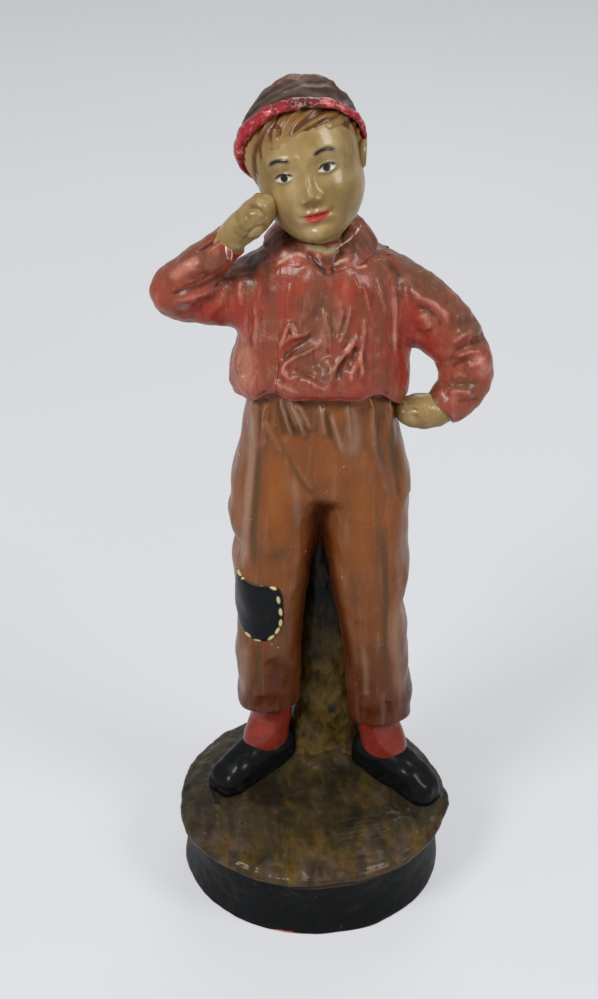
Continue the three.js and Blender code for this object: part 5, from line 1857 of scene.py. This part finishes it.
FACE_FORM = [
    *mirrored(9.6, BROW_Z - 0.5, 8.0, 3.0, 0.9),
    *mirrored(EYE_X, EYE_Z + 0.3, 6.2, 4.2, -2.4),
    *mirrored(EYE_X, EYE_Z, 4.6, 2.9, 1.9),
    *mirrored(14.5, NOSE_Z - 1, 8.5, 7.5, 1.5),
    *centred(EYE_Z + 1.5, 2.6, 6.5, 1.5),
    *centred(NOSE_Z + 4.5, 2.5, 4.5, 2.0),
    *centred(NOSE_Z, 3.3, 3.2, 3.9),
    *mirrored(3.6, NOSE_Z - 1.4, 1.9, 1.8, 1.7),
    *mirrored(5.9, NOSE_Z - 2.2, 1.2, 2.2, -0.5),
    *centred(NOSE_Z - 5.2, 1.1, 2.0, -0.5),
    *mirrored(2.4, MOUTH_Z + 1.5, 2.8, 1.4, 1.2),
    *centred(MOUTH_Z - 1.8, 4.6, 1.6, 1.5),
    *centred(MOUTH_Z - 5.0, 5.0, 1.7, -1.0),
    *mirrored(7.4, MOUTH_Z, 1.5, 1.7, -0.7),
    *centred(CHIN_Z, 6.5, 4.0, 1.7),
]


def face_lines(side):
    """Upper lid, lower lid and brow of one side as drawn lines in x and z."""
    lid = [(side * (EYE_X + EYE_HALF * t), EYE_Z + LID_RISE * (1 - t * t)) for t in (-1, -0.5, 0, 0.5, 1.08)]
    low = [(side * (EYE_X + EYE_HALF * t), EYE_Z - LID_FALL * (1 - t * t)) for t in (-1, -0.5, 0, 0.5, 1)]
    brow = [(side * x, BROW_Z + z) for x, z in ((5.0, -0.4), (8.0, 0.9), (12.0, 1.1), (16.0, -0.8))]
    return lid, low, brow


def face_masks(x, z, front):
    """Painted eyes, brows and lips as masks in the face's x and z."""
    eyes = np.zeros_like(x)
    dark = np.zeros_like(x)
    places = np.stack([x, z], -1)
    for side in (-1, 1):
        t = (x * side - EYE_X) / EYE_HALF
        shut = 1 - t * t
        over = z - (EYE_Z + LID_RISE * shut)
        under = (EYE_Z - LID_FALL * shut) - z
        eyes = np.maximum(eyes, 1 - rise_between(np.maximum(over, under), -0.35, 0.1))
        iris = np.hypot(x * side - EYE_X + 0.1, z - EYE_Z - 0.35)
        dark = np.maximum(dark, (1 - rise_between(iris, 1.55, 2.0)) * (over < 0.1))
        lid, low, brow = face_lines(side)
        dark = np.maximum(dark, np.clip(lines_height(places, [(0.62, 1.35, lid)]), 0, 1))
        dark = np.maximum(dark, 0.5 * np.clip(lines_height(places, [(0.4, 1.0, low)]), 0, 1))
        dark = np.maximum(dark, np.clip(lines_height(places, [(0.95, 1.25, brow)]), 0, 1))
    t = np.clip(np.abs(x) / MOUTH_HALF, 0, 1)
    bow = MOUTH_Z + (2.3 - 0.7 * bell(x, 1.3)) * (1 - t**1.6)
    lower = MOUTH_Z - 3.0 * (1 - t**2.2)
    lips = 1 - rise_between(np.maximum(z - bow, lower - z), -0.35, 0.3)
    lips = lips * (np.abs(x) < MOUTH_HALF)
    between = [(-6, MOUTH_Z), (0, MOUTH_Z - MOUTH_BOW), (6, MOUTH_Z)]
    parting = np.clip(lines_height(places, [(0.35, 0.9, between)]), 0, 1)
    return {
        "lips": lips * front,
        "eye_white": eyes * front,
        "brows": np.maximum(dark, 0.7 * parting) * front,
    }


def head_shape():
    """Level ovals from chin to crown, closest together at the face, with the face's forms as bells."""
    grid = ovals(SKULL_ROWS, turn(300, 1.5 * math.pi, 0.6), HEAD_SQUARENESS)
    front = rise_between(-grid[..., 1], 2, 10)
    places = grid[..., ::2]
    form = bumps(grid, FACE_FORM)
    for side in (-1, 1):
        lid, low, brow = face_lines(side)
        form += lines_height(places, [(0.75, 0.75, lid), (0.7, 0.4, low), (1.1, 0.35, brow)])
    parting = [(-7.2, MOUTH_Z + 0.2), (0, MOUTH_Z - MOUTH_BOW), (7.2, MOUTH_Z + 0.2)]
    form += lines_height(places, [(0.7, -1.3, parting)])
    masks = face_masks(grid[..., 0], grid[..., 2], front)
    grid = push(grid, form * front)
    masks.update(wear_masks(grid, passes=10))
    return tilted(grid), masks, False


def neck_shape():
    """Round level rings from inside the shirt up into the head."""
    rows = curve(
        [
            (2, 11, NECK - 9, 14, 14, 14),
            (1, 11, NECK, 14, 14, 14),
            (-2.5, 11, NECK + 19.5, 13, 13, 13),
        ],
        40,
    )
    grid = ovals(rows, turn(90), 1.0)
    return grid, wear_masks(grid), False


EAR_MIDDLE = (25.2, 1.1, -6.5)
EAR_REACH = (2.8, 5.0, 6.6)
EAR_LEAN = math.radians(-12)


def ear_shape():
    """A flattened ball with a rolled edge and a hollow, on the left side of the head."""
    up = np.linspace(-1, 1, 70)[:, None] * math.pi / 2 * 0.985
    angle = turn(80)
    ball = points_of(np.cos(up) * np.cos(angle), np.cos(up) * np.sin(angle), np.sin(up))
    edge = np.hypot(ball[..., 1], ball[..., 2])
    rim = 0.9 * bell(edge - 0.8, 0.2) - 1.4 * bell(edge, 0.5)
    grid = ball * EAR_REACH
    grid[..., 0] += np.where(ball[..., 0] > 0, rim, 0)
    grid[..., 1], grid[..., 2] = swung(grid[..., 1], grid[..., 2], EAR_LEAN)
    grid[..., 0] += 0.3 * grid[..., 2]
    grid = grid + EAR_MIDDLE
    return tilted(grid), wear_masks(grid, passes=6), False


CAP_FORWARD = np.array((0, -math.cos(CAP_TILT), math.sin(CAP_TILT)))
CAP_AXIS = np.array((0, math.sin(CAP_TILT), math.cos(CAP_TILT)))
CAP_MIDDLE = np.array((0, 3.0, 7.2))
CAP_HALF = 28.2
CAP_DEEP = 30.5
CAP_HIGH = 27.2
CAP_SAG = 5.0
SIDEWAYS = np.array((1.0, 0, 0))


def cap_ring(out, share, lean, angle):
    """Ovals in the band's tilted plane: out along the cap's axis, lean sideways."""
    middle = CAP_MIDDLE + np.multiply.outer(out, CAP_AXIS)
    across = lean[..., None] + CAP_HALF * share[..., None] * np.cos(angle)
    back = -CAP_DEEP * share[..., None] * np.sin(angle)
    return middle[..., None, :] + across[..., None] * SIDEWAYS + back[..., None] * CAP_FORWARD


def skull_reach(middle, direction):
    """Distance from points inside the skull to its surface along directions, by halving."""
    field = oval_field(SKULL_ROWS, HEAD_SQUARENESS)
    low = np.zeros(direction.shape[:-1])
    high = np.full(direction.shape[:-1], 60.0)
    for _ in range(26):
        half = (low + high) / 2
        inside = field(middle + direction * half[..., None]) < 0
        low = np.where(inside, half, low)
        high = np.where(inside, high, half)
    return low


# How far the hair falls below the band: degrees round the band from the figure's left, and millimetres
HAIR_FALL = np.array(
    (
        *((0, 10.5), (40, 11), (90, 13), (130, 15), (160, 20), (185, 25), (210, 23.5)),
        *((235, 22), (262, 21), (285, 18), (310, 15.5), (335, 12), (360, 10.5)),
    )
)
HAIR_STRANDS = [
    (3.4, 1.2, ((349, 107), (325, 110), (304, 122), (283, 140))),
    (2.2, 1.1, ((342, 115), (318, 124), (300, 135), (288, 149))),
    (2.2, 1.1, ((354, 117), (340, 128), (322, 138), (301, 144))),
    (2.4, 1, ((294, 104), (280, 116), (270, 130), (272, 150))),
    (1.8, 1.3, ((268, 131), (272, 126), (278, 128), (279, 134), (273, 140))),
    (1.3, 1.2, ((266, 147), (280, 153), (290, 153), (304, 146))),
    (1.2, 1.2, ((290, 149), (302, 145), (316, 143), (336, 146))),
    (1.8, 1, ((349, 115), (357, 133), (352, 156))),
    (1.6, 1, ((343, 118), (350, 132), (347, 148))),
    (2.6, 1.1, ((261, 132), (254, 156), (257, 180), (268, 200))),
    (1.6, 1, ((268, 124), (260, 146), (263, 172))),
    (1.6, 0.9, ((330, 116), (310, 128), (290, 143))),
    (2.6, 1, ((312, 128), (302, 135), (296, 142))),
    (1.4, 1, ((326, 134), (314, 140), (304, 141))),
]


def hair_shape():
    """The skull's skin below the cap's band, thickened and combed into strands, closed underneath.

    Across runs from under the band to the hairline and back inside; around follows the band.
    """
    angle = turn(520)[::-1]
    front = np.maximum(0, -np.sin(angle))
    right = np.maximum(0, -np.cos(angle))
    fall = np.interp(np.degrees(angle) % 360, HAIR_FALL[:, 0], HAIR_FALL[:, 1])
    fall = fall + 0.7 * np.cos(angle * 13 + 2.0 * np.cos(angle * 3)) + 0.4 * np.cos(angle * 29 + 1)
    top_rows, tuck = 44, -0.12
    across = np.concatenate([np.linspace(tuck, 1, top_rows), np.linspace(1, tuck, 8)[1:-1]])[:, None]
    under = (np.arange(len(across)) >= top_rows)[:, None]
    middle = CAP_MIDDLE - (across * fall)[..., None] * CAP_AXIS
    direction = np.multiply.outer(np.cos(angle), SIDEWAYS) - np.multiply.outer(np.sin(angle), CAP_FORWARD)
    direction = np.broadcast_to(direction, middle.shape)
    base = middle + direction * skull_reach(middle, direction)[..., None]
    sweep = angle + (0.012 + 0.034 * front) * across * fall
    comb = np.sin(sweep * 24 + 1.5 * np.sin(sweep * 5) + 1.2 * np.sin(across * 4 + angle * 3))
    fine = np.sin(sweep * 57 + 3 * np.sin(sweep * 7 + across * 5))
    body = -1.4 + 3.7 * np.clip(1 - np.clip(across, 0, 1) ** 2, 0, 1) ** 1.1
    groove = sizes().lock_depth / MM * (0.5 * comb + 0.2 * fine) * np.clip(body / 2.0, 0, 1)
    grid = base + direction * np.where(under, -2.2, body + groove)[..., None]
    outer = rise_between(-np.sin(angle), -0.4, -0.1) * ~under
    strands = np.clip(lines_height(on_sheet(tilted(grid)), HAIR_STRANDS), 0, 1) * outer
    grid = grid - direction * (0.45 * strands)[..., None]
    masks = wear_masks(grid, True, passes=5, depth=0.35)
    masks["strand"] = strands
    masks["pale"] = np.maximum(np.clip(right * 1.6 - 0.7, 0, 1), 0.9 * rise_between(across, 0.3, 0.8))
    masks["thin"] = rise_between(across, 0.5, 0.95) * np.ones_like(angle)
    return tilted(grid), masks, True


CAP_DOME = curve(
    [
        (-0.1, 0.98, 0.0),
        (0.0, 1.0, 0.0),
        (0.25, 0.97, 0.1),
        (0.5, 0.86, 0.3),
        (0.74, 0.67, 0.55),
        (0.9, 0.45, 0.8),
        (1.0, 0.2, 1.0),
        (1.015, 0.03, 1.05),
    ],
    110,
)

# Dents and swellings of the crown, in the head's own frame and then on the tilted crown
CAP_DENTS = [((17, 10, 33), (5, 9, 4), -1.8), ((-14, 4, 30), (7, 8, 6), -0.9), ((5, 18, 36), (8, 6, 6), 0.8)]
CROWN_DENTS = [((13, 14, 436), (6, 14, 5), -2.6), ((6, 14, 446), (6, 12, 5), 1.2)]


def cap_shape():
    """Rings of the soft crown, sagging to one side, with folds along the band and dents."""
    out, share, lean = CAP_DOME.T
    angle = turn(280)
    grid = cap_ring(CAP_HIGH * out, share, CAP_SAG * lean, angle)
    wrinkle = np.sin(out[:, None] * 13 + 1.4 * np.cos(angle * 2 + 0.5) + 1.2 * uneven(grid, 34, 91))
    creased = rise_between(out, 0.12, 0.3) * (1 - rise_between(out, 0.75, 0.98))
    height = 0.6 * wrinkle * creased[:, None] + bumps(grid, CAP_DENTS)
    height = height + 0.35 * uneven(grid, 12, 92) + 0.12 * uneven(grid, 5, 93)
    grid = tilted(push(grid, height))
    grid = push(grid, bumps(grid, CROWN_DENTS))
    masks = wear_masks(grid)
    masks["rust"] = rise_between(out, 0.3, 0.7)[:, None] * np.ones_like(angle)
    streaks = np.sin(out[:, None] * 22 + 1.2 * np.cos(angle * 3) + 1.5 * uneven(grid, 26, 94))
    masks["grey"] = np.clip(streaks, 0, 1) * (1 - rise_between(out, 0.45, 0.75)[:, None])
    return grid, masks, False


def band_shape():
    """A rounded profile carried once round the crown's edge."""
    angle = turn(420)
    half = sizes().band_width / MM
    edge = cap_ring(np.zeros(1), np.full(1, 1.03), np.zeros(1), angle)[0]
    out = unit(edge - CAP_MIDDLE)
    section = turn(36)
    fuller = (0.9 - 0.24 * np.cos(angle))[:, None]
    thick = 2.3 * signed_power(np.cos(section), 0.8) * fuller
    high = half * (signed_power(np.sin(section), 0.8) * fuller - 1)
    grid = edge[:, None] + out[:, None] * thick[..., None] + CAP_AXIS * high[..., None]
    grid = grid[:, ::-1]
    lump = 0.22 * uneven(grid, 10, 95) + 0.08 * uneven(grid, 4, 96)
    grid = push(grid, lump, True)
    masks = wear_masks(grid, True, passes=6)
    middle_worn = bell(grid[..., 0] - 6, 9) * (grid[..., 1] < 0)
    masks["rubbed"] = np.clip(middle_worn * (0.7 + 0.5 * uneven(grid, 5, 97)), 0, 1)
    masks["specks"] = rise_between(np.cos(angle), -0.6, 0.5)[:, None] * np.ones_like(section)
    return tilted(grid), masks, True


# Operators


class PieceOperator:
    """What the operators that build pieces share."""

    bl_options = {"REGISTER", "UNDO"}

    def execute(self, context):
        self.build()
        return {"FINISHED"}


class FIGURE_OT_plinth(PieceOperator, bpy.types.Operator):
    """Build the plinth drum, the ground and the tree stump"""

    bl_idname = "figure.plinth"
    bl_label = "Plinth and Ground"

    def build(self):
        dressed("plinth_drum", [drum_shape()], "plinth_black")
        dressed("ground_mound", [mound_shape()], "earth_paint")
        dressed("tree_stump", [stump_shape()], "earth_paint")


class FIGURE_OT_feet(PieceOperator, bpy.types.Operator):
    """Build the shoes and stockings"""

    bl_idname = "figure.feet"
    bl_label = "Shoes and Stockings"

    def build(self):
        dressed("right_shoe", [shoe_shape(RIGHT_ANKLE, TOES_OUT[0])], "shoe_black")
        dressed("left_shoe", [shoe_shape(LEFT_ANKLE, TOES_OUT[1])], "shoe_black")
        right = stocking_shape(RIGHT_ANKLE, TOES_OUT[0], RIGHT_SOLE, RIGHT_HEM)
        left = stocking_shape(LEFT_ANKLE, TOES_OUT[1], LEFT_SOLE, LEFT_HEM)
        dressed("right_stocking", [right], "stocking_red")
        dressed("left_stocking", [left], "stocking_red")


class FIGURE_OT_trousers(PieceOperator, bpy.types.Operator):
    """Build the trouser seat, both legs and the knee patch"""

    bl_idname = "figure.trousers"
    bl_label = "Trousers"

    def build(self):
        dressed("trouser_seat", [seat_shape()], "trouser_brown")
        dressed("right_trouser_leg", [leg_shape(0)], "trouser_brown")
        dressed("left_trouser_leg", [leg_shape(1)], "trouser_brown")
        dressed("knee_patch", [patch_shape()], "shoe_black", patch_paint)


class FIGURE_OT_shirt(PieceOperator, bpy.types.Operator):
    """Build the shirt's body, collar and braces"""

    bl_idname = "figure.shirt"
    bl_label = "Shirt, Collar and Braces"

    def build(self):
        dressed("shirt_body", [shirt_shape()], "shirt_red")
        for node, (foot_x, top_x, front) in BRACES.items():
            dressed(node, [brace_shape(foot_x, top_x, front)], "shirt_red", brace_paint)
        dressed("right_collar_leaf", [collar_shape(-1)], "shirt_red")
        dressed("left_collar_leaf", [collar_shape(1)], "shirt_red")


class FIGURE_OT_sleeves(PieceOperator, bpy.types.Operator):
    """Build the four sleeve pieces"""

    bl_idname = "figure.sleeves"
    bl_label = "Sleeves"

    def build(self):
        paths = {
            "right_upper_sleeve": RIGHT_UPPER,
            "right_lower_sleeve": RIGHT_LOWER,
            "left_upper_sleeve": LEFT_UPPER,
            "left_lower_sleeve": LEFT_LOWER_CORE,
        }
        for node, path in paths.items():
            side = node.split("_")[0]
            part = "lower" if "upper" in node else "upper"
            neighbours = [(SLEEVE_FIELDS[f"{side}_{part}_sleeve"], ELBOW_REACH)]
            if "upper" in node:
                neighbours.append((SHIRT_FIELD, ARMHOLE_REACH))
            if path is LEFT_LOWER_CORE:
                neighbours.append((SLEEVE_FIELDS[node], OWN_REACH))
            dressed(node, [sleeve_shape(path, neighbours, "lower" in node)], "shirt_red")


class FIGURE_OT_hands(PieceOperator, bpy.types.Operator):
    """Build both hands"""

    bl_idname = "figure.hands"
    bl_label = "Hands"

    def build(self):
        dressed("right_hand", [hand_shape(FIST_STOPS, FIST_LINES, 81)], "skin_paint")
        dressed("left_hand", [hand_shape(HIP_HAND_STOPS, HIP_HAND_LINES, 82)], "skin_paint")


class FIGURE_OT_head(PieceOperator, bpy.types.Operator):
    """Build the head with its neck, the ear and the hair"""

    bl_idname = "figure.head"
    bl_label = "Head and Hair"

    def build(self):
        dressed("head", [head_shape(), neck_shape()], "skin_paint")
        dressed("left_ear", [ear_shape()], "skin_paint")
        dressed("hair", [hair_shape()], "hair_paint")


class FIGURE_OT_cap(PieceOperator, bpy.types.Operator):
    """Build the cap's crown and band"""

    bl_idname = "figure.cap"
    bl_label = "Cap"

    def build(self):
        dressed("cap_crown", [cap_shape()], "cap_brown")
        dressed("cap_band", [band_shape()], "band_crimson")


# Stage: lamps with their places in metres, sizes and watts, then the light of the air and of the seen floor
LAMPS = {
    "key_lamp": ((-0.95, -0.95, 1.35), 0.55, 26.0),
    "fill_lamp": ((1.1, -0.75, 1.25), 0.55, 15.0),
    "back_lamp": ((0.2, 1.2, 1.3), 0.9, 10.0),
}
LAMP_AIM = (0, 0, 0.25)
AIR_LIGHT = 0.3
AIR_SEEN = 0.7
FLOOR_LIFT = 0.62
SENSOR_WIDTH = 36.0


def soft_box(name, place, size, power):
    """A square area lamp at a place in metres, turned towards the figure."""
    lamp = bpy.data.lights.new(name, "AREA")
    lamp.shape = "SQUARE"
    lamp.size = size
    lamp.energy = power
    holder = bpy.data.objects.new(name, lamp)
    holder.location = place
    direction = np.subtract(LAMP_AIM, place)
    flat = math.hypot(direction[0], direction[1])
    holder.rotation_euler = (math.atan2(flat, -direction[2]), 0, math.atan2(-direction[0], direction[1]))
    bpy.context.scene.collection.objects.link(holder)


def seen_rays(nodes):
    """1 for rays that come from the camera or off a mirror or glass, 0 for those that light things."""
    path = nodes.node("ShaderNodeLightPath")
    seen = Wire(nodes, path.outputs["Is Camera Ray"])
    for kind in ("Is Glossy Ray", "Is Transmission Ray"):
        seen = nodes.math("MAXIMUM", seen, Wire(nodes, path.outputs[kind]))
    return seen


def floor_paint(name):
    """A pale matt floor that keeps the shadows, lifted a little for seen rays."""
    bench = Bench(name)
    bench.colour = colour_of("floor")
    bench.over(bench.step(bench.noise(400, detail=1.0), 0.2, 0.8), "floor_pale")
    matt = bench.wire("ShaderNodeBsdfDiffuse", None, {"Color": bench.colour})
    glow = bench.wire("ShaderNodeEmission", None, {"Color": colour_of("floor_glow"), "Strength": 1.0})
    surface = bench.wire("ShaderNodeMixShader", None, {0: seen_rays(bench) * FLOOR_LIFT, 1: matt, 2: glow})
    bench.node("ShaderNodeOutputMaterial", None, {"Surface": surface})
    return bench.material


def air(name):
    """A dim pale world for the light, and a pale backdrop for seen rays."""
    world = bpy.data.worlds.new(name)
    nodes = Nodes(world)
    span = {"Value": seen_rays(nodes), "To Min": AIR_LIGHT, "To Max": AIR_SEEN}
    strength = nodes.wire("ShaderNodeMapRange", None, span)
    sky = nodes.wire("ShaderNodeBackground", None, {"Color": colour_of("air"), "Strength": strength})
    nodes.node("ShaderNodeOutputWorld", None, {"Surface": sky})
    return world


class FIGURE_OT_stage(PieceOperator, bpy.types.Operator):
    """Build the floor, the soft lamps and the camera"""

    bl_idname = "figure.stage"
    bl_label = "Stage"

    def build(self):
        scene = bpy.context.scene
        half = sizes().floor_size
        mesh = bpy.data.meshes.new("studio_floor")
        corners = [(-half, -half, 0), (half, -half, 0), (half, half, 0), (-half, half, 0)]
        mesh.from_pydata(corners, [], [(0, 1, 2, 3)])
        mesh.materials.append(floor_paint("studio_floor"))
        floor = bpy.data.objects.new("studio_floor", mesh)
        scene.collection.objects.link(floor)
        for name, lamp in LAMPS.items():
            soft_box(name, *lamp)
        scene.world = air("studio_air")
        lens = bpy.data.cameras.new("photo_camera")
        lens.sensor_width = SENSOR_WIDTH
        lens.lens = SENSOR_WIDTH * EYE_FOCUS / SHEET_HEIGHT
        camera = bpy.data.objects.new("photo_camera", lens)
        camera.location = EYE * MM
        camera.rotation_euler = (math.pi / 2 - EYE_PITCH, 0, 0)
        scene.collection.objects.link(camera)
        scene.camera = camera
        scene.view_settings.view_transform = "Standard"


PIECE_OPERATORS = (
    FIGURE_OT_stage,
    FIGURE_OT_plinth,
    FIGURE_OT_feet,
    FIGURE_OT_trousers,
    FIGURE_OT_shirt,
    FIGURE_OT_sleeves,
    FIGURE_OT_hands,
    FIGURE_OT_head,
    FIGURE_OT_cap,
)


class FIGURE_PT_panel(bpy.types.Panel):
    """Buttons for the figure's pieces, with their sizes and colours"""

    bl_idname = "FIGURE_PT_panel"
    bl_label = "Terracotta Figure"
    bl_space_type = "VIEW_3D"
    bl_region_type = "UI"
    bl_category = "Figure"

    def draw(self, context):
        for operator in PIECE_OPERATORS:
            self.layout.operator(operator.bl_idname)
        for group in (context.scene.figure_sizes, context.scene.figure_colours):
            for key in group.__annotations__:
                self.layout.prop(group, key)


CLASSES = (FigureSizes, FigureColours, *PIECE_OPERATORS, FIGURE_PT_panel)


def register():
    """Registers the classes and hangs both groups on the scene."""
    for kind in CLASSES:
        bpy.utils.register_class(kind)
    bpy.types.Scene.figure_sizes = bpy.props.PointerProperty(type=FigureSizes)
    bpy.types.Scene.figure_colours = bpy.props.PointerProperty(type=FigureColours)


def unregister():
    """Takes back all that register did."""
    del bpy.types.Scene.figure_colours
    del bpy.types.Scene.figure_sizes
    for kind in reversed(CLASSES):
        bpy.utils.unregister_class(kind)


def main():
    register()
    bpy.ops.figure.stage()
    bpy.ops.figure.plinth()
    bpy.ops.figure.feet()
    bpy.ops.figure.trousers()
    bpy.ops.figure.shirt()
    bpy.ops.figure.sleeves()
    bpy.ops.figure.hands()
    bpy.ops.figure.head()
    bpy.ops.figure.cap()
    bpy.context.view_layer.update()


if __name__ == "__main__":
    main()
